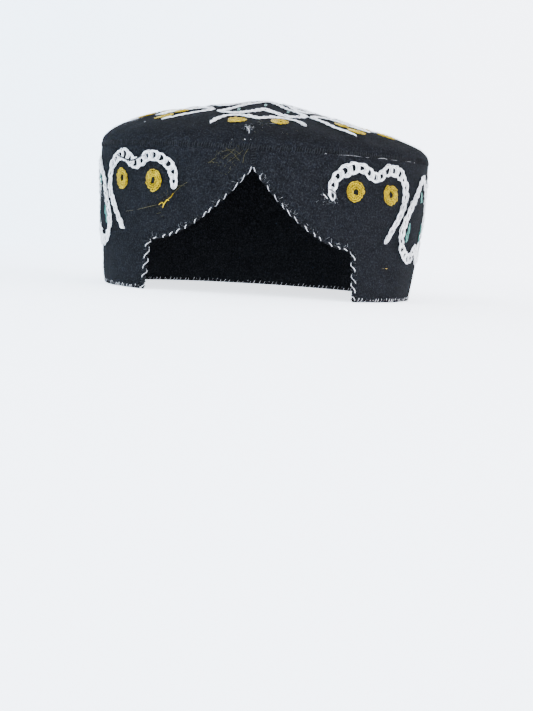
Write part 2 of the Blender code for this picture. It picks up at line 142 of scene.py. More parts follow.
# Half outlines, from the dip to the tail
OPEN_HEART = table(
    "across up",
    (0.00, 0.875),
    (0.14, 0.905),
    (0.32, 0.985),
    (0.60, 0.980),
    (0.88, 0.870),
    (1.00, 0.690),
    (0.95, 0.500),
    (0.79, 0.300),
    (0.43, 0.000),
)
CLOSED_HEART = table(
    "across up",
    (0.00, 0.860),
    (0.14, 0.900),
    (0.34, 0.985),
    (0.62, 0.985),
    (0.89, 0.890),
    (0.99, 0.740),
    (0.89, 0.530),
    (0.62, 0.320),
    (0.23, 0.090),
    (0.00, 0.000),
)
LOW_ARCH = table(
    "across up",
    (0.00, 0.450),
    (0.16, 0.660),
    (0.44, 1.000),
    (0.68, 0.880),
    (0.86, 0.500),
    (1.00, 0.000),
)
TALL_ARCH = table(
    "across up",
    (0.00, 0.200),
    (0.08, 0.430),
    (0.14, 0.700),
    (0.26, 0.920),
    (0.45, 1.000),
    (0.68, 0.930),
    (0.87, 0.730),
    (0.98, 0.470),
    (1.00, 0.240),
    (0.93, 0.000),
)
CROWN_HEART = table(
    "across up",
    (0.00, 0.640),
    (0.22, 0.840),
    (0.54, 1.000),
    (0.87, 0.950),
    (0.98, 0.800),
    (0.80, 0.620),
    (0.54, 0.420),
    (0.26, 0.180),
    (0.00, 0.000),
)

# Fine meshes
ARCH_COLUMNS = 90
WALL_COLUMNS = 300
UPPER_ROWS = 22
FLAP_ROWS = 12
CROWN_COLUMNS = 288
CROWN_ROWS = 44
SHOULDER_START = 0.80  # share of the reach from which the rows follow the shoulder's bend
SHOULDER_ROWS = 22
CURVE_SAMPLES = 12
TINY = 1e-12  # keeps a division from zero
SLOPE_STEP = 0.0001
OUTLINE_STEPS = 64
EDGE_ROWS = (0.0, 0.10, 0.35, 0.70, 1.10)  # rows near a free edge, as shares of half the felt
WELD = 0.000002

# Seeds of the random draws
SEEDS = {
    "swell": 11, "pill": 12, "pucker": 13, "wall_bands": 100, "wall_rings": 200, "crown": 300,
    "edge": 400, "seam": 500, "fibres": 600, "loose": 700,
}

# Felt's soft unevenness
WAVE_COUNT = 9
WAVE_PACES = (0.6, 1.6)
SWELL = 0.00035  # slow waves of the surface
SWELL_LENGTH = 0.030
PILL = 0.00008  # the felt's grain
PILL_LENGTH = 0.0040
PUCKER = 0.00018  # small gathers above the crown's seam
PUCKER_LENGTH = 0.0050
PUCKER_REACH = 0.0060
PUCKER_STRETCH = 0.1  # how slowly the gathers change with height
SEAM_DIP = 0.00006  # how far the felt sinks at a seam
SEAM_SQUARENESS = 14.0  # how much sharper the edges are that meet in the seam than the free ones
SEAM_REACH = 0.0018
FRONT_SEAM_REACH = 0.0009

# Chain stitch
# pitch: of a link where the band is widest; hole: the hole's width in a thin and in a wide band, as a share of
# the band's; lift: height; jitter: unevenness of the links; stray: how far strands wander
WOOL = {
    "width": BAND_WIDTH, "pitch": 0.0056, "hole": (0.26, 0.52), "strands": 6, "radius": 0.00018, "lift": 0.0013,
    "steps": 14, "sides": 4, "jitter": 0.10, "stray": 0.00022,
}
FLOSS = {
    "width": 0.0019, "pitch": 0.0025, "hole": (0.34, 0.34), "strands": 2, "radius": 0.00018, "lift": 0.0012,
    "steps": 9, "sides": 4, "jitter": 0.16, "stray": 0.00012, "spread": 1.10,
}
TEAL = {
    "width": 0.0025, "pitch": 0.0042, "hole": (0.42, 0.42), "strands": 2, "radius": 0.00024, "lift": 0.0008,
    "steps": 11, "sides": 5, "jitter": 0.10, "stray": 0.00006,
}
CROWN_WOOL = {**WOOL, "radius": 0.00015, "lift": 0.0007}
CROWN_FLOSS = {**FLOSS, "lift": 0.0008}
CROWN_TEAL = {**TEAL, "width": 0.0013, "lift": 0.0003, "radius": 0.00013}
CROWN_NARROWING = 0.92
RING_ROWS = 3
RING_SHORT = 0.15  # of a turn, at the hole
RING_POINTS = 40  # in a turn
RING_WOBBLE = 0.02  # of its radius
RING_PHASE = 6
MARK_POINTS = 9
THIN_BAND = 0.55  # against the widest

# A link of chain stitch. Along it, in shares of its pitch: its inner strand, and what its outer strand adds
LINK_TIP = (0.62, 0.50)
LINK_MIDDLE = (0.30, 0.12)
LINK_FOOT = (-0.24, -0.06)
LINK_DRIFT = 0.03
# At its foot, as a share of its width
LINK_NARROWING = {"first": 0.92, "other": 0.34}
# Above the felt, in shares of the look's lift, at places from its tip to its foot
LINK_PLACES = (0, 0.5, 0.8, 1.0)
LINK_HEIGHTS = (0.42, 0.60, 0.92, 0.25)
LINK_ARCHING = 0.22
STRAND_DRIFT = 0.10
# Factors on the look's hole, and the tint
LINK_HOLES = (0.75, 1.25)
LINK_SHADES = (0.25, 0.75)
LINK_SHADE_SPREAD = 0.4

# Short marks of teal thread in the turned hearts
# across, low, high: metres from the heart's middle and above the rim; lean: how far the top leans out
WALL_MARKS = table(
    "across low high lean",
    (-0.0160, 0.0335, 0.0420, 0.93),
    (0.0160, 0.0335, 0.0420, 0.93),
    (0.0, 0.0545, 0.0590, 1.0),
)

# And in the crown's large hearts
# across, near, far: shares of the crown's reach
CROWN_MARKS = table(
    "across near far",
    (-0.145, 0.360, 0.435),
    (0.145, 0.360, 0.435),
    (0.0, 0.200, 0.265),
)

# Overcast threads along the felt's edge
# pitch: along the edge; reach: into the felt; slant: half of the stitch's run along the edge
EDGE_STITCHES = table(
    "zone thread pitch reach slant radius",
    ("arch", "black", 0.0020, 0.0021, 0.0005, 0.00022),
    ("arch", "white", 0.0054, 0.0011, -0.0034, 0.00017),
    ("side", "black", 0.0022, 0.0021, 0.0006, 0.00022),
    ("side", "white", 0.0052, 0.0012, 0.0033, 0.00018),
    ("rim", "black", 0.0023, 0.0026, 0.0008, 0.00022),
    ("rim", "white", 0.0028, 0.0030, 0.0022, 0.00012),
)
SIDE_POINTS = 30
RIM_POINTS = 200
EDGE_DRIFT = 0.12  # of the pitch
EDGE_REACHES = (0.75, 1.2)
EDGE_SLANTS = (0.7, 1.3)
# A stitch round the edge, at shares of its length: depth into the felt and height, from the outer face to the inner
OVERCAST_PLACES = (0, 0.15, 0.36, 0.5, 0.64, 0.85, 1)
OVERCAST_DEPTHS = (1.0, 0.72, 0.10, 0.0, 0.10, 0.72, 1.0)
OVERCAST_HEIGHTS = (-0.4, 1.0, 1.0, 0.0, -1.0, -1.0, 0.4)
# How much of it stands off the edge, where it turns over
WRAP_PLACES = (0, 0.36, 0.5, 0.64, 1)
WRAP_SHARES = (0, 0, 1, 0, 0)
WRAP_LEAN = 0.01
EDGE_INSET = 0.0001

# The seam between wall and crown
SEAM_PITCH = 0.0013
SEAM_THREAD_RADIUS = 0.00020
SEAM_STITCH_BELOW = 0.0009
SEAM_STITCH_ABOVE = 0.0019
SEAM_SLANT = 0.0006
SEAM_DRIFT = 0.1  # of the pitch
SEAM_LOWS = (0.6, 1.2)
SEAM_HIGHS = (0.8, 1.2)
SEAM_BEND = 0.0001
SEAM_RISE = 1.4  # of the thread's radius
FRONT_STITCH = 0.0014
FRONT_START = 0.7  # of the pitch above the opening's point

# Pale basting along the seam, at the cap's front on the wearer's left
# from, to: distance round the wall from the middle of the front
BASTING = table(
    "from to",
    (0.0366, 0.0378),
    (0.0434, 0.0592),
    (0.0612, 0.0632),
    (0.0694, 0.0770),
    (0.0796, 0.0848),
    (0.0926, 0.1006),
    (0.1040, 0.1052),
)
BASTING_Z = 0.0747
BASTING_RADIUS = 0.00011
BASTING_BEND = 0.00015
BASTING_RISE = 2.4  # of the radius

# Loose threads and marks, in metres of the flat layout
# surface: where it lies; rise: height of its middle above the felt
LOOSE_THREADS = table(
    "surface thread radius rise points",
    ("wall", "black", 0.00040, 0.0026,
     ((-0.0890, 0.0694), (-0.0792, 0.0676), (-0.0708, 0.0660), (-0.0660, 0.0676), (-0.0612, 0.0700))),
    ("wall", "olive", 0.00009, 0.0003, ((-0.0776, 0.0396), (-0.0740, 0.0399), (-0.0700, 0.0404))),
    ("wall", "olive", 0.00009, 0.0003, ((-0.0672, 0.0408), (-0.0620, 0.0418), (-0.0560, 0.0430), (-0.0520, 0.0440))),
    ("wall", "yellow", 0.00022, 0.0005, ((-0.0512, 0.0438), (-0.0486, 0.0452), (-0.0478, 0.0440))),
    ("wall", "yellow", 0.00026, 0.0006, ((-0.0486, 0.0424), (-0.0470, 0.0450), (-0.0456, 0.0468), (-0.0448, 0.0462))),
    ("wall", "yellow", 0.00020, 0.0005, ((-0.0452, 0.0472), (-0.0434, 0.0482), (-0.0420, 0.0504))),
    ("wall", "olive", 0.00012, 0.0004, ((-0.0422, 0.0500), (-0.0392, 0.0526), (-0.0354, 0.0554), (-0.0338, 0.0562))),
    ("wall", "olive", 0.00010, 0.0004, ((-0.0420, 0.0520), (-0.0392, 0.0540), (-0.0350, 0.0545))),
    ("wall", "yellow", 0.00015, 0.0003, ((0.0848, 0.0180), (0.0856, 0.0181), (0.0864, 0.0180))),
    ("wall", "olive", 0.00010, 0.0003, ((0.0812, 0.0180), (0.0826, 0.0181), (0.0836, 0.0180))),
    ("wall", "white", 0.00014, 0.0006, ((0.0372, 0.0545), (0.0386, 0.0532), (0.0398, 0.0522))),
    ("wall", "grey", 0.00014, 0.0006, ((0.0396, 0.0548), (0.0424, 0.0524), (0.0446, 0.0500))),
    ("wall", "grey", 0.00012, 0.0006, ((0.0404, 0.0566), (0.0430, 0.0544), (0.0456, 0.0522))),
    ("wall", "black", 0.00022, 0.0009, ((0.0384, 0.0552), (0.0410, 0.0534), (0.0434, 0.0508))),
    ("wall", "black", 0.00024, 0.0022, ((0.0396, 0.0574), (0.0420, 0.0560), (0.0446, 0.0534))),
    ("wall", "grey", 0.00014, 0.0005, ((-0.0396, 0.0566), (-0.0412, 0.0548), (-0.0436, 0.0534))),
    ("wall", "olive", 0.00008, 0.0003, ((-0.0232, 0.0664), (-0.0210, 0.0680), (-0.0192, 0.0694))),
    ("wall", "olive", 0.00011, 0.0003, ((-0.0222, 0.0668), (-0.0210, 0.0672), (-0.0200, 0.0666))),
    ("wall", "olive", 0.00007, 0.0003, ((-0.0170, 0.0722), (-0.0112, 0.0738), (-0.0062, 0.0716))),
    ("wall", "olive", 0.00007, 0.0003, ((-0.0158, 0.0686), (-0.0116, 0.0722), (-0.0090, 0.0752))),
    ("wall", "olive", 0.00006, 0.0003, ((-0.0126, 0.0676), (-0.0094, 0.0702), (-0.0052, 0.0742))),
    ("wall", "olive", 0.00006, 0.0003, ((-0.0146, 0.0746), (-0.0100, 0.0716), (-0.0066, 0.0682))),
    ("wall", "olive", 0.00007, 0.0003, ((-0.0052, 0.0672), (-0.0046, 0.0714), (-0.0028, 0.0748))),
    ("crown", "white", 0.00016, 0.0003, ((-0.0052, -0.0921), (-0.0050, -0.0922), (-0.0048, -0.0921))),
    ("crown", "grey", 0.00012, 0.0003, ((-0.0021, -0.0921), (-0.0020, -0.0922), (-0.0019, -0.0921))),
    ("crown", "grey", 0.00014, 0.0003, ((-0.0117, -0.0918), (-0.0115, -0.0919), (-0.0113, -0.0918))),
    ("crown", "grey", 0.00026, 0.0004, ((-0.0062, -0.0822), (-0.0046, -0.0838), (-0.0038, -0.0860))),
    ("crown", "white", 0.00016, 0.0004, ((-0.0050, -0.0836), (-0.0036, -0.0860), (-0.0033, -0.0884))),
    ("crown", "grey", 0.00012, 0.0003, ((-0.0040, -0.0818), (-0.0034, -0.0836), (-0.0042, -0.0856))),
    ("crown", "grey", 0.00012, 0.0003, ((0.0056, -0.0748), (0.0078, -0.0742), (0.0100, -0.0730))),
    ("crown", "grey", 0.00018, 0.0004, ((-0.0618, -0.0500), (-0.0614, -0.0502), (-0.0610, -0.0503))),
)

# Lint: patches of very fine loose fibres
LINT = table(
    "surface thread middle spread count radius",
    ("crown", "grey", (-0.0700, -0.0310), 0.0022, 46, 0.00005),
    ("crown", "grey", (-0.0040, -0.0835), 0.0014, 26, 0.00005),
    ("crown", "olive", (0.0070, -0.0800), 0.0070, 16, 0.00004),
    ("crown", "grey", (0.0000, -0.0780), 0.0080, 20, 0.00003),
    ("wall", "olive", (-0.0130, 0.0700), 0.0040, 40, 0.00005),
    ("wall", "olive", (-0.0470, 0.0455), 0.0040, 22, 0.00006),
    ("wall", "grey", (0.0400, 0.0535), 0.0022, 24, 0.00005),
)
LINT_LENGTH = 0.0016
LINT_LENGTHS = (0.4, 1.3)
LINT_BEND = 0.0002
LOOSE_RISE = 0.0003
LINT_REACH = 0.95  # share of the crown's reach past which no lint lies

# Short fly threads along the opening, more of them beside the arch's right side
# from, to: shares of the arch, from its point to its corner; side: 1 on the wearer's left, -1 on the right
ARCH_FLIES = table(
    "side from to count",
    (1, 0.04, 0.42, 16),
    (1, 0.42, 0.95, 12),
    (-1, 0.04, 0.95, 8),
)
FLY_RADIUS = 0.00006
FLY_LENGTH = 0.0024
FLY_LENGTHS = (0.4, 1.2)
FLY_ASIDE = (0.0, 0.0012)
FLY_ABOVE = (0.0004, 0.0018)
FLY_TURNS = (-0.5, 2.2)
FLY_BEND = 0.0003

# Fibres that stand off the felt
WALL_FIBRES = 7000
CROWN_FIBRES = 5500
CROWN_FIBRE_REACH = 0.985
FIBRE_RADIUS = 0.000040
FIBRE_LENGTH = 0.0021
FIBRE_LENGTHS = (0.4, 1.3)
FIBRE_SLOPES = (0.08, 0.55)
FIBRE_CURL = 0.5
FIBRE_ARCHING = 1.6
FIBRE_UP = (0.3, 0.2, 1.0)
FIBRE_TIP = 0.3  # of its radius

# Colours: dark, middle and light of the felt and of each thread
FELT_DARK = (0.0014, 0.0016, 0.0020)
FELT_MIDDLE = (0.0048, 0.0054, 0.0065)
FELT_LIGHT = (0.0180, 0.0195, 0.0225)
FIBRE_LIGHT = (0.026, 0.029, 0.034)
SEAM_COLOURS = ((0.0018, 0.0020, 0.0024), (0.0062, 0.0067, 0.0078), (0.0190, 0.0200, 0.0225))
OLIVE_COLOURS = ((0.006, 0.005, 0.001), (0.034, 0.030, 0.007), (0.085, 0.076, 0.020))
WOOL_COLOURS = ((0.26, 0.27, 0.30), (0.84, 0.85, 0.87), (1.0, 1.0, 1.0))
FLOSS_COLOURS = ((0.030, 0.011, 0.0001), (0.27, 0.175, 0.0006), (0.72, 0.53, 0.003))
FLOSS_SHINE = (1.0, 0.72, 0.0)
TEAL_COLOURS = ((0.010, 0.060, 0.050), (0.030, 0.150, 0.125), (0.09, 0.27, 0.23))
BLACK_COLOURS = ((0.0016, 0.0018, 0.0022), (0.0040, 0.0045, 0.0055), (0.0120, 0.0130, 0.0150))
WHITE_COLOURS = ((0.24, 0.25, 0.27), (0.58, 0.59, 0.61), (0.86, 0.86, 0.87))
GREY_COLOURS = ((0.020, 0.021, 0.024), (0.090, 0.094, 0.100), (0.42, 0.43, 0.44))
NO_TINT = (1.0, 1.0, 1.0)
SHEEN_ROUGHNESS = 0.45
# patch, strand: how finely the colour changes along a thread and from strand to strand, in cells to the metre
THREADS = table(
    "name colours roughness sheen shine patch strand shine_tint",
    ("felt_fibre", (FELT_DARK, FELT_MIDDLE, FIBRE_LIGHT), 0.9, 0.0, 0.05, 420, 3200, NO_TINT),
    ("white_wool", WOOL_COLOURS, 0.85, 0.03, 0.15, 1100, 4200, NO_TINT),
    ("yellow_floss", FLOSS_COLOURS, 0.40, 0.0, 0.30, 900, 3600, FLOSS_SHINE),
    ("teal_floss", TEAL_COLOURS, 0.45, 0.0, 0.35, 420, 3200, NO_TINT),
    ("black_thread", BLACK_COLOURS, 0.6, 0.0, 0.10, 420, 3200, NO_TINT),
    ("seam_thread", SEAM_COLOURS, 0.8, 0.0, 0.08, 420, 3200, NO_TINT),
    ("olive_thread", OLIVE_COLOURS, 0.6, 0.0, 0.1, 420, 3200, NO_TINT),
    ("grey_thread", GREY_COLOURS, 0.8, 0.0, 0.1, 900, 4200, NO_TINT),
    ("white_thread", WHITE_COLOURS, 0.7, 0.05, 0.3, 420, 3200, NO_TINT),
)
THREAD_BLEND = 0.5  # of the colour that changes along the thread
STRAND_BLEND = 0.35  # of the colour of its fine strands
PAPER_COOL = (0.74, 0.85, 0.95)
PAPER_WARM = (0.92, 0.90, 0.93)
PAPER_GLOW = 2.4
PAPER_SPAN = (-0.35, 0.35)  # from the cool side to the warm one

# Studio
STAGE_RADIUS = 1.45
STAGE_SWEEP = 0.55
STAGE_WALL = 1.3
STAGE_COLUMNS = 96
STAGE_ROWS = {"floor": 14, "sweep": 16}
SKY_COLOUR = (0.93, 0.96, 1.0)
SKY_STRENGTH = 0.8
LAMPS = table(
    "name place target size power colour",
    ("key", (-0.55, -0.75, 1.05), (0.0, 0.0, 0.05), (0.9, 0.7), 15.0, (1.0, 0.99, 0.97)),
    ("fill", (0.85, -0.65, 0.75), (0.0, 0.0, 0.05), (0.8, 0.8), 7.0, (1.0, 0.98, 0.97)),
    ("back", (0.1, 0.95, 0.95), (0.0, 0.0, 0.08), (1.0, 0.5), 7.0, (0.97, 0.99, 1.0)),
)

# The photograph's view
CAMERA = {
    "place": (0.0620, -1.0076, 0.0410), "forward": (-0.0537, 0.9957, -0.0762), "roll": 3.584,
    "lens": 91.45, "sensor": 36.0,
}

# Sizes that follow from those above
MEAN_RADIUS = HAT_SIZE / (2 * math.pi) + FELT
GIRTH = 2 * math.pi * MEAN_RADIUS
SKIRT_BOTTOM = WALL_HEIGHT + CLEARANCE
SKIRT_TOP = SKIRT_BOTTOM + SKIRT_HEIGHT
HEART_PITCH = GIRTH / 2 / PITCHES_TO_BACK
HEART_HALF_WIDTH = HEART_PITCH * HEART_HALF_WIDTH_SHARE
TURNED_HALF_WIDTH = HEART_PITCH * TURNED_HALF_WIDTH_SHARE
WALL_HEARTS = round(2 * (PITCHES_TO_BACK - FIRST_HEART_PITCHES)) + 1
ARCH_POINT = WALL_HEIGHT - ARCH_BELOW_SEAM

crown_low, crown_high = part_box("crown")
MIDDLE = np.array([(crown_low.x + crown_high.x) / 2, (crown_low.y + crown_high.y) / 2, 0.0])


def half_axes(z):
    """Half width and half depth of the wall's outer face."""
    share = np.clip(np.asarray(z, float) / WALL_HEIGHT, 0.0, 1.0)
    across = RIM_HALF_WIDTH + (TOP_HALF_WIDTH - RIM_HALF_WIDTH) * np.sin(share * math.pi / 2)
    return across, np.sqrt(2 * MEAN_RADIUS**2 - across**2)


def on_wall(s, z, out=0.0):
    """The point of the wall's outer face at (s, z), moved out by a distance."""
    across, deep = half_axes(z)
    turn = np.asarray(s, float) / MEAN_RADIUS
    squeeze = (deep**2 - across**2) / (8 * MEAN_RADIUS**2)
    angle = turn + squeeze * np.sin(2 * turn)
    face = np.stack([np.sin(angle) / across, -np.cos(angle) / deep], -1)
    face /= np.linalg.norm(face, axis=-1)[..., None]
    x = across * np.sin(angle) + out * face[..., 0]
    y = -deep * np.cos(angle) + out * face[..., 1]
    return np.stack([x, y, np.asarray(z, float) + 0 * x], -1) + MIDDLE


def crown_height(x, y):
    """Height of the crown's outer face over its plan."""
    across, deep = half_axes(WALL_HEIGHT)
    reach = np.clip(np.hypot(np.asarray(x) / across, np.asarray(y) / deep), 0.0, 1.0)
    cone = 1 - CONE_SHARE * (np.sqrt(reach**2 + TIP_SHARE**2) - TIP_SHARE)
    lean = 1 - CROWN_LEAN * np.asarray(x) / across
    height = CROWN_RISE * cone * lean * (1 - reach**SHOULDER_POWER) ** (1 / SHOULDER_ROUND)
    for dent in DENTS:
        heading = math.radians(dent["heading"])
        away = np.hypot(
            np.asarray(x) / across - dent["reach"] * math.sin(heading),
            np.asarray(y) / deep + dent["reach"] * math.cos(heading),
        )
        height = height + dent["lift"] * CROWN_RISE * np.exp(-((away / dent["spread"]) ** 2)) * (1 - reach**4)
    return SKIRT_TOP + height


def crown_face(x, y):
    """The crown's outward direction over (x, y)."""
    slope_x = (crown_height(x + SLOPE_STEP, y) - crown_height(x - SLOPE_STEP, y)) / (2 * SLOPE_STEP)
    slope_y = (crown_height(x, y + SLOPE_STEP) - crown_height(x, y - SLOPE_STEP)) / (2 * SLOPE_STEP)
    face = np.stack([-slope_x, -slope_y, np.ones_like(slope_x)], -1)
    return face / np.linalg.norm(face, axis=-1)[..., None]


def on_crown(x, y, out=0.0):
    """The point of the crown's outer face over (x, y), moved out along its normal."""
    x, y = np.asarray(x, float), np.asarray(y, float)
    out = np.asarray(out, float)[..., None]
    return np.stack([x, y, crown_height(x, y)], -1) + out * crown_face(x, y) + MIDDLE


def lengths_along(path):
    """The length of a path up to each of its points."""
    return np.concatenate([[0], np.cumsum(np.linalg.norm(np.diff(path, axis=0), axis=1))])


def places_at(lengths, run, path):
    """The places on a path at lengths along it. run: the length up to each of its points."""
    return np.stack([np.interp(lengths, run, column) for column in path.T], -1)


def smooth(points, steps):
    """A smooth curve through the points, as evenly spaced points."""
    points = np.asarray(points, float)
    padded = np.vstack([2 * points[0] - points[1], points, 2 * points[-1] - points[-2]])
    fine = []
    for a, b, c, d in zip(padded, padded[1:], padded[2:], padded[3:]):
        for t in np.linspace(0, 1, CURVE_SAMPLES, endpoint=False):
            bend = 2 * a - 5 * b + 4 * c - d
            twist = 3 * b - a - 3 * c + d
            fine.append(b + 0.5 * ((c - a) * t + bend * t**2 + twist * t**3))
    fine = np.array([*fine, points[-1]])
    run = lengths_along(fine)
    return places_at(np.linspace(0, run[-1], steps + 1), run, fine)


def arch_outline(inset, count):
    """Half of the opening's arch as (s, z), from its point to the step's corner, moved into the felt."""
    share = np.linspace(0, 1, count)
    rise = ARCH_POINT - STEP_HEIGHT
    s = STEP_HALF_WIDTH * share
    z = STEP_HEIGHT + rise * (ARCH_BULGE * (1 - share) ** 2 + (1 - ARCH_BULGE) * (1 - share))
    slope = -rise / STEP_HALF_WIDTH * (2 * ARCH_BULGE * (1 - share) + 1 - ARCH_BULGE)
    stretch = np.sqrt(1 + slope**2)
    s_in, z_in = s - inset * slope / stretch, z + inset / stretch
    point = (0.0, ARCH_POINT + inset * stretch[0])
    corner_s = side_outline(STEP_HEIGHT + inset, inset)
    corner = (corner_s, z_in[-1] + slope[-1] * (corner_s - s_in[-1]))
    inside = s_in < corner_s - CLEARANCE
    return np.array([point, *zip(s_in[inside], z_in[inside]), corner])


def side_outline(z, inset):
    """Distance along the wall from the front's middle to the step's upright edge, moved into the felt."""
    lean = (FOOT_HALF_WIDTH - STEP_HALF_WIDTH) / STEP_HEIGHT
    return FOOT_HALF_WIDTH - lean * z + inset * math.sqrt(1 + lean**2)


def waves(points, length, seed):
    """Smooth seeded unevenness between about -1 and 1, for points in space."""
    draw = np.random.default_rng(seed)
    total = np.zeros(points.shape[:-1])
    for _ in range(WAVE_COUNT):
        direction = draw.normal(size=3)
        direction /= np.linalg.norm(direction)
        pace = 2 * math.pi / length * draw.uniform(*WAVE_PACES)
        total += np.sin(points @ direction * pace + draw.uniform(0, 2 * math.pi))
    return total / math.sqrt(WAVE_COUNT)


def felt_swell(points):
    """How far the felt stands out of its even shape, before its seams."""
    return SWELL * waves(points, SWELL_LENGTH, SEEDS["swell"]) + PILL * waves(points, PILL_LENGTH, SEEDS["pill"])


def on_felt_wall(s, z, out=0.0):
    """A place on the wall's real, uneven surface, moved out by a distance."""
    return on_wall(s, z, out + felt_swell(on_wall(s, z)))


def on_felt_crown(x, y, out=0.0):
    """A place on the crown's real, uneven surface, moved out by a distance."""
    return on_crown(x, y, out + felt_swell(on_crown(x, y)))


def add_mesh(name, points, face_sets, material, tint=None):
    """A smooth mesh object from an array of points and arrays of faces, with a tint for each point."""
    sizes = np.concatenate([np.full(len(faces), faces.shape[1]) for faces in face_sets])
    corners = np.concatenate([faces.ravel() for faces in face_sets])
    mesh = bpy.data.meshes.new(name)
    mesh.vertices.add(len(points))
    mesh.vertices.foreach_set("co", np.asarray(points, np.float32).ravel())
    mesh.loops.add(len(corners))
    mesh.loops.foreach_set("vertex_index", corners.astype(np.int32))
    mesh.polygons.add(len(sizes))
    mesh.polygons.foreach_set("loop_start", np.concatenate([[0], np.cumsum(sizes)[:-1]]).astype(np.int32))
    mesh.update(calc_edges=True)
    mesh.shade_smooth()
    if tint is not None:
        mesh.attributes.new("tint", "FLOAT", "POINT").data.foreach_set("value", np.asarray(tint, np.float32))
    mesh.materials.append(material)
    piece = bpy.data.objects.new(name, mesh)
    bpy.context.scene.collection.objects.link(piece)
    return piece


def dress(piece, slot, *nodes):
    """A built piece rides on the cap and stands for its nodes."""
    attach(piece, "root")
    if nodes:
        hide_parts(*nodes)
    return piece


def tubes(paths, radius, ups, sides, draw, blunt=0.4, shade=0.5, spread=0.5):
    """Round threads along paths of equal length: their points, faces and tints."""
    paths = np.asarray(paths, float)
    count, steps = paths.shape[:2]
    radii = np.broadcast_to(np.asarray(radius, float).reshape(-1, 1), (count, steps)).copy()
    radii[:, 0] *= blunt
    radii[:, -1] *= blunt
    tangent = np.gradient(paths, axis=1)
    tangent /= np.linalg.norm(tangent, axis=-1)[..., None] + TINY
    across = np.cross(tangent, np.broadcast_to(ups, paths.shape))
    across /= np.linalg.norm(across, axis=-1)[..., None] + TINY
    above = np.cross(across, tangent)
    angle = 2 * math.pi * (np.arange(sides) + 0.5) / sides
    ring = across[:, :, None] * np.cos(angle)[:, None] + above[:, :, None] * np.sin(angle)[:, None]
    points = paths[:, :, None] + ring * radii[..., None, None]
    index = np.arange(count * steps * sides).reshape(count, steps, sides)
    a, b = index[:, :-1], index[:, 1:]
    quads = np.stack([a, b, np.roll(b, -1, axis=2), np.roll(a, -1, axis=2)], -1).reshape(-1, 4)
    caps = np.vstack([index[:, 0], index[:, -1, ::-1]])
    tint = np.repeat(np.clip(shade + draw.uniform(-spread, spread, count), 0, 1), steps * sides)
    return points.reshape(-1, 3), [quads, caps], tint


def join_threads(name, sets, material):
    """One mesh object from several sets of threads."""
    points, faces, tints, start = [], [], [], 0
    for set_points, set_faces, set_tint in sets:
        points.append(set_points)
        faces.extend(part + start for part in set_faces)
        tints.append(set_tint)
        start += len(set_points)
    return add_mesh(name, np.vstack(points), faces, material, np.concatenate(tints))


def rounded(outer, face, edge_distance):
    """The outer and inner sides of a felt sheet whose free edges are round."""
    half = FELT / 2
    left = np.clip(half - edge_distance, 0, half)
    sink = half - np.sqrt(half**2 - left**2)
    return outer - face * sink[..., None], outer - face * (FELT - sink)[..., None]


def grid_faces(index, closed):
    """Quads of a grid of point numbers whose rows go up and columns go to the left round the cap."""
    following = np.roll(index, -1, axis=1)
    if not closed:
        index, following = index[:, :-1], following[:, :-1]
    return np.stack([index[:-1], following[:-1], following[1:], index[1:]], -1).reshape(-1, 4)


def wall_grids():
    """The wall's upper part and its flaps as grids of (s, z), crowded near the felt's edges."""
    half = FELT / 2
    near = half * np.array(EDGE_ROWS)
    arch = arch_outline(EDGE_INSET, count=ARCH_COLUMNS)
    corner_s, corner_z = arch[-1]
    front_s = np.concatenate([-arch[::-1, 0], arch[1:, 0]])
    front_low = np.concatenate([arch[::-1, 1], arch[1:, 1]])
    spare = GIRTH - 2 * corner_s
    inner = np.linspace(FELT / spare, 1 - FELT / spare, WALL_COLUMNS)
    share = np.concatenate([near / spare, inner, 1 - near[::-1] / spare])
    columns = np.concatenate([front_s, corner_s + spare * share[1:-1]])
    low = np.concatenate([front_low, np.full(len(share) - 2, corner_z)])
    rows = [low + lift for lift in near]
    first, last = rows[-1], WALL_HEIGHT - near[-1]
    rows.extend(first + (last - first) * part for part in np.linspace(0, 1, UPPER_ROWS + 1)[1:])
    rows.extend(np.full(len(columns), WALL_HEIGHT - drop) for drop in near[::-1][1:])
    upper = np.stack([np.broadcast_to(columns, (len(rows), len(columns))), np.array(rows)], -1)
    heights = np.concatenate([EDGE_INSET + near, np.linspace(EDGE_INSET + FELT, corner_z, FLAP_ROWS + 1)])
    flaps = []
    for z in heights:
        edge = side_outline(z, EDGE_INSET)
        flaps.append(np.column_stack([edge + (GIRTH - 2 * edge) * share, np.full(len(share), z)]))
    return upper, np.array(flaps), len(front_s)


def to_front_half(s):
    """Distance round the wall from the front's middle, the same on both sides."""
    s = np.mod(s, GIRTH)
    return np.minimum(s, GIRTH - s)


def distance_to_edge(places):
    """Distance in the flat layout from each (s, z) to the felt's nearest free edge."""
    foot = (side_outline(EDGE_INSET, EDGE_INSET), EDGE_INSET)
    edge = np.vstack([arch_outline(EDGE_INSET, count=2 * ARCH_COLUMNS), [foot]])
    s, z = to_front_half(places[..., 0]), places[..., 1]
    best = np.minimum(SEAM_SQUARENESS * (WALL_HEIGHT - z), np.where(s >= foot[0], z - EDGE_INSET, FELT))
    for a, b in zip(edge, edge[1:]):
        run = b - a
        part = np.clip(((s - a[0]) * run[0] + (z - a[1]) * run[1]) / (run @ run), 0, 1)
        best = np.minimum(best, np.hypot(s - a[0] - part * run[0], z - a[1] - part * run[1]))
    return np.maximum(best, 0.0)


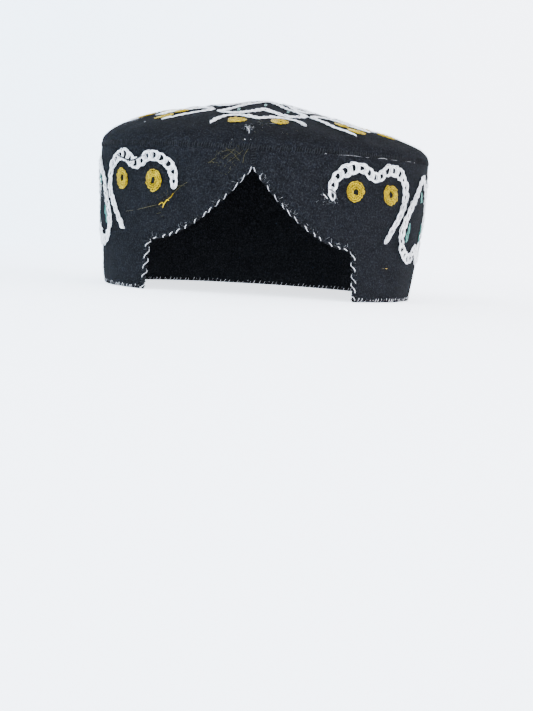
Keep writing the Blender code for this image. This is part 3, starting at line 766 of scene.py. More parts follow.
def felt_wall(material):
    """The side wall: uneven felt with round edges, drawn in at its two seams."""
    sides = []
    upper, flaps, front = wall_grids()
    for places in (upper, flaps):
        s, z = places[..., 0], places[..., 1]
        even = on_wall(s, z)
        face = on_wall(s, z, 1.0) - even
        dip = SEAM_DIP * np.exp(-(((WALL_HEIGHT - z) / SEAM_REACH) ** 2))
        dip += SEAM_DIP * np.exp(-((to_front_half(s) / FRONT_SEAM_REACH) ** 2))
        outer = even + face * (felt_swell(even) - dip)[..., None]
        sides.append(rounded(outer, face, distance_to_edge(places)))
    across, below = upper.shape[1], flaps.shape[1]
    points, faces = [], []
    for side in (0, 1):
        start = sum(len(p) for p in points)
        top = start + np.arange(upper.shape[0] * across).reshape(-1, across)
        low_rows = flaps.shape[0] - 1
        low = start + top.size + np.arange(low_rows * below).reshape(-1, below)
        joint = top[0, (front - 1 + np.arange(below)) % across]
        quads = np.vstack([grid_faces(top, True), grid_faces(np.vstack([low, joint]), False)])
        points.append(np.vstack([sides[0][side].reshape(-1, 3), sides[1][side][:-1].reshape(-1, 3)]))
        faces.append(quads if side == 0 else quads[:, ::-1])
    wall = add_mesh("felt_wall", np.vstack(points), faces, material)
    weld(wall)
    return dress(wall, "black_felt", "side_wall")


def weld(piece):
    """Joins the two sides of a shell where they meet."""
    shape = bmesh.new()
    shape.from_mesh(piece.data)
    bmesh.ops.remove_doubles(shape, verts=shape.verts, dist=WELD)
    bmesh.ops.dissolve_degenerate(shape, edges=shape.edges, dist=WELD)
    shape.to_mesh(piece.data)
    shape.free()


def felt_crown(material):
    """The crown: uneven felt with a soft shoulder, gathered a little at its seam."""
    across, deep = half_axes(WALL_HEIGHT)
    angle = np.linspace(0, 2 * math.pi, CROWN_COLUMNS, endpoint=False)
    turn = np.linspace(math.acos(SHOULDER_START ** (SHOULDER_POWER / 2)), 0, SHOULDER_ROWS)
    reach = np.concatenate([
        np.linspace(1.0 / CROWN_ROWS, SHOULDER_START, CROWN_ROWS, endpoint=False),
        np.cos(turn) ** (2 / SHOULDER_POWER),
    ])
    x = reach[:, None] * across * np.sin(angle)
    y = -reach[:, None] * deep * np.cos(angle)
    dome = np.stack([x, y, crown_height(x, y)], -1)
    near = FELT / 2 * np.array(EDGE_ROWS)
    heights = np.concatenate([[SKIRT_TOP - SKIRT_HEIGHT / 4], WALL_HEIGHT + near[::-1]])
    heights = heights[heights < SKIRT_TOP - CLEARANCE]
    skirt = np.stack([
        np.broadcast_to(x[-1], (len(heights), CROWN_COLUMNS)),
        np.broadcast_to(y[-1], (len(heights), CROWN_COLUMNS)),
        np.broadcast_to(heights[:, None], (len(heights), CROWN_COLUMNS)),
    ], -1)
    grid = np.vstack([dome, skirt]) + MIDDLE
    face = -np.cross(np.roll(grid, -1, axis=1) - np.roll(grid, 1, axis=1), np.gradient(grid, axis=0))
    face /= np.linalg.norm(face, axis=-1)[..., None]
    above = grid[..., 2] - WALL_HEIGHT
    gathers = PUCKER * waves(grid * (1, 1, PUCKER_STRETCH), PUCKER_LENGTH, SEEDS["pucker"])
    gathers *= np.exp(-((above / PUCKER_REACH) ** 2))
    dip = SEAM_DIP * np.exp(-((above / SEAM_REACH) ** 2))
    outer = grid + face * (felt_swell(grid) + gathers - dip)[..., None]
    skin, lining = rounded(outer, face, SEAM_SQUARENESS * above)
    points, faces = [], []
    for side, sheet in enumerate((skin, lining)):
        start = sum(len(p) for p in points)
        index = start + np.arange(sheet.shape[0] * CROWN_COLUMNS).reshape(-1, CROWN_COLUMNS)
        middle = start + index.size
        tip = sheet[0].mean(axis=0)
        quads = grid_faces(index, True)[:, ::-1]
        cap = np.column_stack([np.full(CROWN_COLUMNS, middle), index[0], np.roll(index[0], -1)])
        points.append(np.vstack([sheet.reshape(-1, 3), [tip]]))
        faces.extend([quads, cap] if side == 0 else [quads[:, ::-1], cap[:, ::-1]])
    crown = add_mesh("felt_crown", np.vstack(points), faces, material)
    weld(crown)
    return dress(crown, "black_felt", "crown")


def band_widths(count, size):
    """Widths at evenly spaced places from the dip to the tail."""
    along = [row["along"] for row in BAND_TAPER]
    width = [row["width"] * BAND_WIDTH * size for row in BAND_TAPER]
    return np.interp(np.linspace(0, 1, count), along, width)


def half_outline(shape, half_width, height):
    """Half a motif's middle line, from the dip to the tail, standing on a height of 0."""
    return smooth([(row["across"] * half_width, row["up"] * height) for row in shape], OUTLINE_STEPS)


def whole_outline(half, size, closed, short_left=1.0, short_right=1.0):
    """The whole middle line with its widths: the left arm, the dip and the right arm."""
    widths = band_widths(len(half), size)
    keep_left = max(2, round((len(half) - 1) * short_left) + 1)
    keep_right = max(2, round((len(half) - 1) * short_right) + 1)
    right_end = keep_right - 1 if closed else keep_right
    path = np.vstack([(half * (-1, 1))[1:keep_left][::-1], half[:right_end]])
    return path, np.concatenate([widths[1:keep_left][::-1], widths[:right_end]])


def chain(path, width, closed, place, draw, look):
    """Links of chain stitch along a flat path, as sets of threads. place wraps the layout onto the cap."""
    if closed:
        path, width = np.vstack([path, path[:1]]), np.append(width, width[0])
    run = lengths_along(path)
    links = max(2, round(run[-1] / look["pitch"] / math.sqrt(np.mean(width) / look["width"])))
    pitch = run[-1] / links
    tangent = np.gradient(path, axis=0)
    tangent /= np.linalg.norm(tangent, axis=1)[:, None]
    ends = np.array([-pitch, *run, run[-1] + pitch])
    line = np.vstack([path[0] - tangent[0] * pitch, path, path[-1] + tangent[-1] * pitch])
    tangent = np.vstack([tangent[:1], tangent, tangent[-1:]])
    wide = np.concatenate([width[:1], width, width[-1:]])
    t = np.linspace(-1, 1, look["steps"])
    bend = np.clip(np.abs(t) / 0.5, 0, 1) * math.pi / 2
    straight = np.clip(np.abs(t) - 0.5, 0, 0.5) / 0.5
    sets = []
    for link in range(links):
        start = (link + draw.normal(0, LINK_DRIFT)) * pitch
        broad = np.interp(start + pitch / 2, ends, wide)
        here = broad * draw.normal(1, look["jitter"])
        fullness = np.clip((broad / look["width"] - THIN_BAND) / (1 - THIN_BAND), 0, 1)
        hole = (look["hole"][0] + (look["hole"][1] - look["hole"][0]) * fullness) * draw.uniform(*LINK_HOLES)
        share = np.linspace(0, 1, look["strands"])[:, None]
        radius = look["radius"] * (0.5 + 0.5 * broad / look["width"])
        reach_across = here / 2 * (hole + (1 - hole) * share) - radius * (2 * share - 1)
        reach_across = reach_across + draw.normal(0, look["stray"], (look["strands"], look["steps"]))
        narrowing = LINK_NARROWING["first" if link == 0 and not closed else "other"]
        tip, middle, foot = (inner + more * share for inner, more in (LINK_TIP, LINK_MIDDLE, LINK_FOOT))
        along = middle + (tip - middle) * np.cos(bend) + (foot - middle) * straight
        side = np.sign(t) * reach_across * np.sin(bend) * (1 - narrowing * straight**2)
        lift = np.interp(np.abs(t), LINK_PLACES, LINK_HEIGHTS) * look["lift"]
        lift = lift + LINK_ARCHING * look["lift"] * np.sin(math.pi * share)
        lift = lift + draw.normal(0, STRAND_DRIFT, share.shape) * look["lift"]
        at = start + along * pitch
        if closed:
            at = np.mod(at, run[-1])
        spot = places_at(at, ends, line)
        way = places_at(at, ends, tangent)
        way /= np.linalg.norm(way, axis=-1)[..., None]
        flat = spot + np.stack([-way[..., 1], way[..., 0]], -1) * side[..., None]
        points = place(flat[..., 0], flat[..., 1], lift)
        ups = place(flat[..., 0], flat[..., 1], lift + look["lift"]) - points
        shade = draw.uniform(*LINK_SHADES)
        sets.append(tubes(points, radius, ups, look["sides"], draw, shade=shade, spread=LINK_SHADE_SPREAD))
    return sets


def wall_bands(material, teal):
    """The hearts round the wall, with short marks of another thread in the turned ones."""
    half_open = half_outline(OPEN_HEART, HEART_HALF_WIDTH, HEART_HEIGHT)
    half_turned = half_outline(CLOSED_HEART, TURNED_HALF_WIDTH, TURNED_HEIGHT)
    marks = []
    for number in range(1, WALL_HEARTS + 1):
        draw = np.random.default_rng(SEEDS["wall_bands"] + number)
        s = (FIRST_HEART_PITCHES + number - 1) * HEART_PITCH
        name = f"wall_heart_{number}"
        if number % 2 == 0:
            path, width = whole_outline(half_turned, 1.0, closed=True)
            s += TURNED_FORWARD if s > GIRTH / 2 else -TURNED_FORWARD
            flat = np.column_stack([s - path[:, 0], WALL_HEIGHT - TURNED_TOP_MARGIN - path[:, 1]])
            sets = chain(flat, width, True, on_felt_wall, draw, WOOL)
            for mark in WALL_MARKS:
                line = [(s + mark["across"], mark["low"]), (s + mark["across"] * mark["lean"], mark["high"])]
                marks.extend(short_chain(line, on_felt_wall, draw, TEAL))
        else:
            short_left = SHORT_ARM_SHARE if number == 1 else 1.0
            short_right = SHORT_ARM_SHARE if number == WALL_HEARTS else 1.0
            path, width = whole_outline(half_open, 1.0, False, short_left, short_right)
            foot = WALL_HEIGHT - HEART_TOP_MARGIN - HEART_HEIGHT
            sets = chain(path + (s, foot), width, False, on_felt_wall, draw, WOOL)
        dress(join_threads(f"{name}_stitches", sets, material), "white_wool", name)
    dress(join_threads("wall_marks", marks, teal), "white_wool")


def short_chain(line, place, draw, look):
    """A short straight run of chain stitches."""
    path = np.array([np.add(line[0], np.subtract(line[1], line[0]) * t) for t in np.linspace(0, 1, MARK_POINTS)])
    return chain(path, np.full(len(path), look["width"]), False, place, draw, look)


def sector_to_plan(across, outward, sector):
    """Plan (x, y) of a place in a crown sector, given as shares of the crown's reach."""
    half_width, half_depth = half_axes(WALL_HEIGHT)
    heading = math.radians(sector["heading"])
    outward = outward * sector["reach"] + across * sector["lean"]
    x = outward * np.sin(heading) + across * np.cos(heading)
    y = -outward * np.cos(heading) + across * np.sin(heading)
    return np.stack([x * half_width, y * half_depth], -1)


def rosette(name, node, middle, size, place, draw, material, look):
    """A ring of floss: a spiral of small chain stitches round a hole."""
    outer, hole = RING_RADIUS * size, RING_HOLE_RADIUS * size
    row = (outer - hole) / RING_ROWS
    angle = np.linspace(0, 2 * math.pi * (RING_ROWS - RING_SHORT), RING_POINTS * RING_ROWS)
    angle = angle + draw.uniform(0, 2 * math.pi)
    radius = np.linspace(outer - row / 2, hole + row / 2, len(angle))
    wobble = 1 + RING_WOBBLE * np.sin(angle * 2 + draw.uniform(0, RING_PHASE))
    path = np.column_stack([middle[0] + radius * wobble * np.cos(angle), middle[1] + radius * wobble * np.sin(angle)])
    sets = chain(path, np.full(len(path), row * look["spread"]), False, place, draw, look)
    dress(join_threads(name, sets, material), "yellow_floss", node)


def wall_rings(material):
    """Two rings in each upright heart."""
    number = 0
    for heart in range(1, WALL_HEARTS + 1, 2):
        s = (FIRST_HEART_PITCHES + heart - 1) * HEART_PITCH
        for side in (-1, 1):
            number += 1
            middle = (
                s + side * RING_ACROSS_SHARE * HEART_HALF_WIDTH,
                WALL_HEIGHT - HEART_TOP_MARGIN - RING_BELOW_LOBE,
            )
            draw = np.random.default_rng(SEEDS["wall_rings"] + number)
            node = f"wall_ring_{number}"
            rosette(f"{node}_stitches", node, middle, 1.0, on_felt_wall, draw, material, FLOSS)


def crown_work(wool, floss, teal):
    """In each sector of the crown an arch with its rings, and a heart."""
    arches = {"large_heart": LOW_ARCH, "tall_arch": TALL_ARCH}
    rings, marks = 0, []
    for number, sector in enumerate(CROWN_SECTORS, start=1):
        draw = np.random.default_rng(SEEDS["crown"] + number)
        kind = sector["kind"]
        size = CROWN_KINDS[kind]
        for node, shape, half_width, foot, top, closed in (
            ("crown_arch", arches[kind], size["arch_half_width"], size["arch_end"], size["arch_top"], False),
            ("crown_heart", CROWN_HEART, size["heart_half_width"], size["heart_point"], size["heart_front"], True),
        ):
            path, width = whole_outline(half_outline(shape, half_width, abs(top - foot)), CROWN_BAND_SIZE, closed)
            flat = sector_to_plan(path[:, 0], foot + math.copysign(1, top - foot) * path[:, 1], sector)
            sets = chain(flat, width * CROWN_NARROWING, closed, on_felt_crown, draw, CROWN_WOOL)
            dress(join_threads(f"{node}_{number}_stitches", sets, wool), "white_wool", f"{node}_{number}")
        if kind == "large_heart":
            for mark in CROWN_MARKS:
                ends = [sector_to_plan(mark["across"], mark[end], sector) for end in ("near", "far")]
                marks.extend(short_chain(ends, on_felt_crown, draw, CROWN_TEAL))
        for place in [ring for ring in CROWN_RINGS if ring["kind"] == kind]:
            for side in (-1, 1):
                rings += 1
                middle = sector_to_plan(side * place["across"], place["outward"], sector)
                node = f"crown_ring_{rings}"
                rosette(f"{node}_stitches", node, middle, place["size"], on_felt_crown, draw, floss, CROWN_FLOSS)
    dress(join_threads("crown_marks", marks, teal), "white_wool")


def edge_route():
    """The felt's free edge as (s, z), once round the cap, with the direction into the felt."""
    arch = arch_outline(EDGE_INSET, count=ARCH_COLUMNS)
    heights = np.linspace(arch[-1][1], EDGE_INSET, SIDE_POINTS)[1:]
    side = np.column_stack([side_outline(heights, EDGE_INSET), heights])
    rim_s = np.linspace(side[-1][0], GIRTH / 2, RIM_POINTS)[1:]
    half = np.vstack([arch, side, np.column_stack([rim_s, np.full(len(rim_s), EDGE_INSET)])])
    other = (half[1:-1] * (-1, 1) + (GIRTH, 0))[::-1]
    route = np.vstack([half, other, [(GIRTH, half[0][1])]])
    run = lengths_along(route)
    return route, run, len(arch), len(arch) + len(side)


def overcast(route, run, starts, reach, slant, radius, draw, steps=9):
    """Stitches that wrap the felt's edge, one at each start along it, as a set of threads."""
    starts, reach, slant = (np.asarray(v, float)[:, None] for v in (starts, reach, slant))
    t = np.linspace(0, 1, steps)
    depth = np.interp(t, OVERCAST_PLACES, OVERCAST_DEPTHS)
    wrap = np.interp(t, WRAP_PLACES, WRAP_SHARES)
    out = np.interp(t, OVERCAST_PLACES, OVERCAST_HEIGHTS)
    at = np.mod(starts + slant * (1 - 2 * t), run[-1])
    edge = places_at(at, run, route)
    way = places_at(at + radius, run, route) - places_at(at - radius, run, route)
    way /= np.linalg.norm(way, axis=-1)[..., None] + TINY
    inward = np.stack([-way[..., 1], way[..., 0]], -1)
    into = reach * depth + (radius - EDGE_INSET) * wrap
    half = FELT / 2
    lift = -half + out * (half + radius)
    place = edge + inward * into[..., None]
    points = on_felt_wall(place[..., 0], place[..., 1], lift)
    ups = on_wall(place[..., 0], place[..., 1], 1.0) - on_wall(place[..., 0], place[..., 1])
    return tubes(points, radius, ups + WRAP_LEAN, 5, draw)


def edge_work(black, white):
    """Black and white thread overcast along the opening and round the rim."""
    route, run, arch_end, side_end = edge_route()
    total = run[-1]
    zones = {
        "arch": (0.0, run[arch_end - 1]),
        "side": (run[arch_end - 1], run[side_end - 1]),
        "rim": (run[side_end - 1], total - run[side_end - 1]),
    }
    draw = np.random.default_rng(SEEDS["edge"])
    sets = {"black": [], "white": []}
    for zone, (low, high) in zones.items():
        for row in [stitch for stitch in EDGE_STITCHES if stitch["zone"] == zone]:
            spans = [(low, high, 1)] if zone == "rim" else [(low, high, 1), (total - high, total - low, -1)]
            for first, last, way in spans:
                count = max(1, round((last - first) / row["pitch"]))
                starts = first + (np.arange(count) + 0.5) * (last - first) / count
                starts = starts + draw.normal(0, EDGE_DRIFT, count) * row["pitch"]
                reach = row["reach"] * draw.uniform(*EDGE_REACHES, count)
                slant = row["slant"] * way * draw.uniform(*EDGE_SLANTS, count)
                sets[row["thread"]].append(overcast(route, run, starts, reach, slant, row["radius"], draw))
    dress(join_threads("edge_black_thread", sets["black"], black), "edge_thread", "edge_cord")
    dress(join_threads("edge_white_thread", sets["white"], white), "edge_thread")


def surface_threads(lines, place, radius, height, draw, sides=5, steps=8):
    """Loose or running stitches that lie on the felt, one for each line of flat points."""
    sets = []
    for line in lines:
        path = smooth(line, steps)
        t = np.linspace(0, 1, len(path))
        lift = height * np.sin(math.pi * t) ** 0.5 - radius * (1 - np.sin(math.pi * t))
        points = place(path[:, 0], path[:, 1], lift)
        ups = place(path[:, 0], path[:, 1], lift + radius) - points
        sets.append(tubes(points[None], radius, ups[None], sides, draw))
    return sets


def seam_work(dark, pale):
    """The seam between wall and crown: raised stitches all round, down the front, and a run of pale basting."""
    draw = np.random.default_rng(SEEDS["seam"])
    count = round(GIRTH / SEAM_PITCH)
    lines = []
    for k in range(count):
        s = (k + draw.normal(0, SEAM_DRIFT)) * GIRTH / count
        low = WALL_HEIGHT - draw.uniform(*SEAM_LOWS) * SEAM_STITCH_BELOW
        high = SKIRT_BOTTOM + draw.uniform(*SEAM_HIGHS) * SEAM_STITCH_ABOVE
        middle = (s + draw.normal(0, SEAM_BEND), (low + high) / 2)
        lines.append([(s - SEAM_SLANT / 2, low), middle, (s + SEAM_SLANT / 2, high)])
    for k in range(round((WALL_HEIGHT - ARCH_POINT) / SEAM_PITCH)):
        z = ARCH_POINT + EDGE_INSET + (k + FRONT_START) * SEAM_PITCH
        lines.append([(-FRONT_STITCH, z), (0.0, z + SEAM_SLANT / 2), (FRONT_STITCH, z + SEAM_SLANT)])
    rise = SEAM_RISE * SEAM_THREAD_RADIUS
    sets = surface_threads(lines, on_felt_wall, SEAM_THREAD_RADIUS, rise, draw, steps=5)
    dress(join_threads("seam_stitches", sets, dark), "edge_thread")
    lines = []
    for dash in BASTING:
        middle = ((dash["from"] + dash["to"]) / 2, BASTING_Z + draw.normal(0, BASTING_BEND))
        lines.append([(dash["from"], BASTING_Z), middle, (dash["to"], BASTING_Z)])
    sets = surface_threads(lines, on_felt_wall, BASTING_RADIUS, BASTING_RISE * BASTING_RADIUS, draw)
    dress(join_threads("basting", sets, pale), "edge_thread")


def bent_line(start, length, bend):
    """Three flat points of a short loose thread."""
    return np.array([start, start + length / 2 + bend, start + length])


def heading_vector(turn):
    return np.array([math.cos(turn), math.sin(turn)])


def loose_threads(threads):
    """Stray threads, lint and flies. threads: a material for each kind of thread."""
    draw = np.random.default_rng(SEEDS["loose"])
    surfaces = {"wall": on_felt_wall, "crown": on_felt_crown}
    sets = {kind: [] for kind in threads}
    for row in LOOSE_THREADS:
        lie = surfaces[row["surface"]]
        sets[row["thread"]].extend(surface_threads([row["points"]], lie, row["radius"], row["rise"], draw, steps=14))
    for row in LINT:
        lie = surfaces[row["surface"]]
        for _ in range(row["count"]):
            start = draw.normal(row["middle"], row["spread"])
            turn = draw.uniform(0, 2 * math.pi)
            length = LINT_LENGTH * draw.uniform(*LINT_LENGTHS) * heading_vector(turn)
            line = bent_line(start, length, draw.normal(0, LINT_BEND, 2))
            reach = np.linalg.norm(line / half_axes(WALL_HEIGHT), axis=1).max()
            if row["surface"] == "wall" or reach <= LINT_REACH:
                sets[row["thread"]].extend(surface_threads([line], lie, row["radius"], LOOSE_RISE, draw, 3, 4))
    arch = arch_outline(EDGE_INSET, count=ARCH_COLUMNS)
    for row in ARCH_FLIES:
        for _ in range(row["count"]):
            place = draw.uniform(row["from"], row["to"]) * (len(arch) - 1)
            s, z = places_at(place, np.arange(len(arch)), arch)
            start = np.array([s + draw.uniform(*FLY_ASIDE), z + draw.uniform(*FLY_ABOVE)])
            turn = draw.uniform(*FLY_TURNS)
            length = FLY_LENGTH * draw.uniform(*FLY_LENGTHS) * heading_vector(turn)
            line = bent_line(start, length, draw.normal(0, FLY_BEND, 2)) * (row["side"], 1)
            sets["grey"].extend(surface_threads([line], on_felt_wall, FLY_RADIUS, LOOSE_RISE, draw, sides=4, steps=5))
    for kind, material in threads.items():
        dress(join_threads(f"loose_{kind}_threads", sets[kind], material), "edge_thread")


def fibres(name, spots, place, draw, material):
    """Short curved fibres that stand off the felt, joined into one mesh."""
    count = len(spots)
    heading = draw.uniform(0, 2 * math.pi, count)
    length = FIBRE_LENGTH * draw.uniform(*FIBRE_LENGTHS, count)
    rise = length * draw.uniform(*FIBRE_SLOPES, count)
    curl = draw.normal(0, FIBRE_CURL, count)
    points = []
    for t in (0.0, 0.5, 1.0):
        turn = heading + curl * t
        x = spots[:, 0] + length * t * np.cos(turn)
        y = spots[:, 1] + length * t * np.sin(turn)
        points.append(place(x, y, rise * math.sin(t * math.pi / FIBRE_ARCHING) - FIBRE_RADIUS))
    paths = np.stack(points, 1)
    ups = np.broadcast_to(FIBRE_UP, paths.shape)
    piece = join_threads(name, [tubes(paths, FIBRE_RADIUS, ups, 3, draw, blunt=FIBRE_TIP)], material)
    return dress(piece, "black_felt")


def fuzz(material):
    """Fibres all over the outside of the wall and the crown."""
    draw = np.random.default_rng(SEEDS["fibres"])
    spots = np.column_stack([draw.uniform(0, GIRTH, 2 * WALL_FIBRES), draw.uniform(0, WALL_HEIGHT, 2 * WALL_FIBRES)])
    arch = arch_outline(EDGE_INSET, count=ARCH_COLUMNS)
    s = to_front_half(spots[:, 0])
    low = np.where(s < arch[-1][0], np.interp(s, arch[:, 0], arch[:, 1]), EDGE_INSET)
    low = np.where((s < FOOT_HALF_WIDTH) & (spots[:, 1] < STEP_HEIGHT), STEP_HEIGHT, low)
    spots = spots[(spots[:, 1] > low + FIBRE_LENGTH)][:WALL_FIBRES]
    fibres("wall_fibres", spots, on_felt_wall, draw, material)
    across, deep = half_axes(WALL_HEIGHT)
    reach = np.sqrt(draw.uniform(0, CROWN_FIBRE_REACH**2, CROWN_FIBRES))
    turn = draw.uniform(0, 2 * math.pi, CROWN_FIBRES)
    spots = np.column_stack([reach * across * np.sin(turn), -reach * deep * np.cos(turn)])
    fibres("crown_fibres", spots, on_felt_crown, draw, material)


def new_material(name, roughness, sheen, shine=0.5, shine_tint=NO_TINT):
    """A Principled material, its node tree, shader and object coordinates."""
    material = bpy.data.materials.new(name)
    material.use_nodes = True
    nodes, links = material.node_tree.nodes, material.node_tree.links
    shader = nodes["Principled BSDF"]
    shader.inputs["Roughness"].default_value = roughness
    shader.inputs["Sheen Weight"].default_value = sheen
    shader.inputs["Sheen Roughness"].default_value = SHEEN_ROUGHNESS
    shader.inputs["Specular IOR Level"].default_value = shine
    shader.inputs["Specular Tint"].default_value = (*shine_tint, 1.0)
    place = nodes.new("ShaderNodeTexCoord").outputs["Object"]
    return material, nodes, links, shader, place


def noise(nodes, links, place, scale, detail=3.0, stretch=None):
    """A noise texture's value, about scale cells to the metre."""
    if stretch is not None:
        mapping = nodes.new("ShaderNodeMapping")
        mapping.inputs["Scale"].default_value = stretch
        links.new(place, mapping.inputs["Vector"])
        place = mapping.outputs["Vector"]
    texture = nodes.new("ShaderNodeTexNoise")
    texture.inputs["Scale"].default_value = scale
    texture.inputs["Detail"].default_value = detail
    links.new(place, texture.inputs["Vector"])
    return texture.outputs["Fac"]


def ramp(nodes, links, value, stops):
    """Colours along a value. stops: (position, colour) pairs."""
    band = nodes.new("ShaderNodeValToRGB")
    elements = band.color_ramp.elements
    for _ in range(len(stops) - 2):
        elements.new(0.5)
    for element, (position, colour) in zip(elements, stops):
        element.position = position
        element.color = (*colour, 1.0)
    links.new(value, band.inputs["Fac"])
    return band.outputs["Color"]


def blend(nodes, links, factor, first, second):
    """Two colours mixed by a number."""
    mix = nodes.new("ShaderNodeMix")
    mix.data_type = "RGBA"
    mix.inputs["Factor"].default_value = factor
    links.new(first, mix.inputs["A"])
    links.new(second, mix.inputs["B"])
    return mix.outputs["Result"]


def bump(nodes, links, shader, heights):
    """Bumps stacked on one another. heights: (value, strength, distance) rows."""
    last = None
    for value, strength, distance in heights:
        node = nodes.new("ShaderNodeBump")
        node.inputs["Strength"].default_value = strength
        node.inputs["Distance"].default_value = distance
        links.new(value, node.inputs["Height"])
        if last is not None:
            links.new(last, node.inputs["Normal"])
        last = node.outputs["Normal"]
    links.new(last, shader.inputs["Normal"])


def felt_material():
    """Blue-black boiled wool: mottled, matt, with a fine matted grain."""
    material, nodes, links, shader, place = new_material("felt", 0.95, 0.0, 0.01)
    clouds = noise(nodes, links, place, 130, 4)
    grain = noise(nodes, links, place, 1150, 4)
    hairs = noise(nodes, links, place, 2600, 3, (1.0, 1.0, 0.45))
    tone = ramp(nodes, links, clouds, [(0.36, FELT_DARK), (0.64, FELT_MIDDLE)])
    specks = ramp(nodes, links, grain, [(0.40, FELT_DARK), (0.52, FELT_MIDDLE), (0.66, FELT_LIGHT)])
    hair_tone = ramp(nodes, links, hairs, [(0.40, FELT_DARK), (0.66, FELT_LIGHT)])
    colour = blend(nodes, links, 0.65, tone, specks)
    links.new(blend(nodes, links, 0.30, colour, hair_tone), shader.inputs["Base Color"])
    rough = ramp(nodes, links, grain, [(0.3, (0.86,) * 3), (0.7, (1.0,) * 3)])
    links.new(rough, shader.inputs["Roughness"])
    bump(nodes, links, shader, [(clouds, 0.30, 0.0008), (grain, 0.75, 0.00045), (hairs, 0.45, 0.00014)])
    return material


def thread_material(name, colours, roughness, sheen, shine, patch, strand, shine_tint):
    """Thread whose colour changes along it and from stitch to stitch, with fine strands."""
    material, nodes, links, shader, place = new_material(name, roughness, sheen, shine, shine_tint)
    dark, middle, light = colours
    tint = nodes.new("ShaderNodeAttribute")
    tint.attribute_name = "tint"
    stitch = ramp(nodes, links, tint.outputs["Fac"], [(0.0, dark), (0.5, middle), (1.0, light)])
    patches = noise(nodes, links, place, patch, 3)
    along = ramp(nodes, links, patches, [(0.34, dark), (0.50, middle), (0.66, light)])
    strands = noise(nodes, links, place, strand, 3)
    fine = ramp(nodes, links, strands, [(0.36, dark), (0.50, middle), (0.62, light)])
    colour = blend(nodes, links, THREAD_BLEND, stitch, along)
    links.new(blend(nodes, links, STRAND_BLEND, colour, fine), shader.inputs["Base Color"])
    bump(nodes, links, shader, [(patches, 0.3, 0.0003), (strands, 0.6, 0.00014)])
    rough = ramp(nodes, links, strands, [(0.3, (roughness * 0.85,) * 3), (0.7, (min(1.0, roughness * 1.12),) * 3)])
    links.new(rough, shader.inputs["Roughness"])
    return material


def backdrop():
    """A pale floor that sweeps up into a round wall."""
    material, nodes, links, shader, place = new_material("pale_paper", 0.9, 0.0)
    parts = nodes.new("ShaderNodeSeparateXYZ")
    links.new(place, parts.inputs["Vector"])
    spread = nodes.new("ShaderNodeMapRange")
    spread.inputs["From Min"].default_value, spread.inputs["From Max"].default_value = PAPER_SPAN
    links.new(parts.outputs["X"], spread.inputs["Value"])
    tone = ramp(nodes, links, spread.outputs["Result"], [(0.0, PAPER_COOL), (1.0, PAPER_WARM)])
    links.new(tone, shader.inputs["Base Color"])
    links.new(tone, shader.inputs["Emission Color"])
    shader.inputs["Emission Strength"].default_value = PAPER_GLOW
    profile = [(r, 0.0) for r in np.linspace(0, STAGE_RADIUS - STAGE_SWEEP, STAGE_ROWS["floor"])]
    bend = np.linspace(0, math.pi / 2, STAGE_ROWS["sweep"])[1:]
    profile += [(STAGE_RADIUS - STAGE_SWEEP * (1 - math.sin(a)), STAGE_SWEEP * (1 - math.cos(a))) for a in bend]
    profile.append((STAGE_RADIUS, STAGE_WALL))
    angle = np.linspace(0, 2 * math.pi, STAGE_COLUMNS, endpoint=False)
    rings = np.array([[(r * math.cos(a), r * math.sin(a), z) for a in angle] for r, z in profile[1:]])
    index = np.arange(rings.shape[0] * STAGE_COLUMNS).reshape(-1, STAGE_COLUMNS)
    middle = index.size
    points = np.vstack([rings.reshape(-1, 3), [(0, 0, 0)]])
    cap = np.column_stack([np.full(STAGE_COLUMNS, middle), index[0], np.roll(index[0], -1)])
    floor = add_mesh("stage_floor", points, [grid_faces(index, True)[:, ::-1], cap], material)


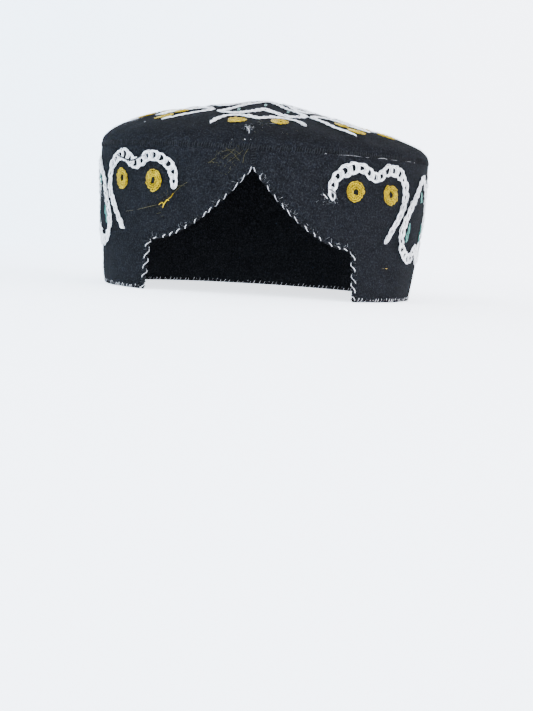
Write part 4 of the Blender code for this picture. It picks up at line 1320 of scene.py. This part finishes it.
def lamp(name, place, target, size, power, colour):
    """A soft square light at a place, turned to a target."""
    light = bpy.data.lights.new(name, "AREA")
    light.shape = "RECTANGLE"
    light.size, light.size_y = size
    light.energy = power
    light.color = colour
    lit = bpy.data.objects.new(name, light)
    lit.location = place
    lit.rotation_euler = (Vector(target) - Vector(place)).to_track_quat("-Z", "Y").to_euler()
    bpy.context.scene.collection.objects.link(lit)


def lights():
    """Soft, pale light from everywhere, a little stronger from above and in front."""
    world = bpy.data.worlds.new("studio")
    world.use_nodes = True
    sky = world.node_tree.nodes["Background"]
    sky.inputs["Color"].default_value = (*SKY_COLOUR, 1.0)
    sky.inputs["Strength"].default_value = SKY_STRENGTH
    bpy.context.scene.world = world
    for row in LAMPS:
        lamp(**row)


def camera():
    """The photograph's view: its place, direction, roll and lens, fitted to the cap."""
    data = bpy.data.cameras.new("camera")
    data.lens = CAMERA["lens"]
    data.sensor_width = CAMERA["sensor"]
    data.clip_start, data.clip_end = 0.01, 20.0
    seen = bpy.data.objects.new("camera", data)
    forward = Vector(CAMERA["forward"]).normalized()
    right = forward.cross(Vector((0, 0, 1))).normalized()
    up = right.cross(forward)
    roll = math.radians(CAMERA["roll"])
    turned_right = right * math.cos(roll) + up * math.sin(roll)
    turned_up = up * math.cos(roll) - right * math.sin(roll)
    turn = Matrix((turned_right, turned_up, -forward)).transposed()
    seen.matrix_world = Matrix.Translation(CAMERA["place"]) @ turn.to_4x4()
    bpy.context.scene.collection.objects.link(seen)
    bpy.context.scene.camera = seen


def main():
    felt = felt_material()
    threads = {row["name"]: thread_material(**row) for row in THREADS}
    wool, floss, teal = (threads[name] for name in ("white_wool", "yellow_floss", "teal_floss"))
    black, white = (threads[name] for name in ("black_thread", "white_thread"))
    seam, grey, olive = (threads[name] for name in ("seam_thread", "grey_thread", "olive_thread"))
    backdrop()
    lights()
    camera()
    felt_wall(felt)
    felt_crown(felt)
    wall_bands(wool, teal)
    wall_rings(floss)
    crown_work(wool, floss, teal)
    edge_work(black, white)
    seam_work(seam, grey)
    loose_threads({"black": black, "grey": grey, "white": white, "yellow": floss, "olive": olive})
    fuzz(threads["felt_fibre"])


main()
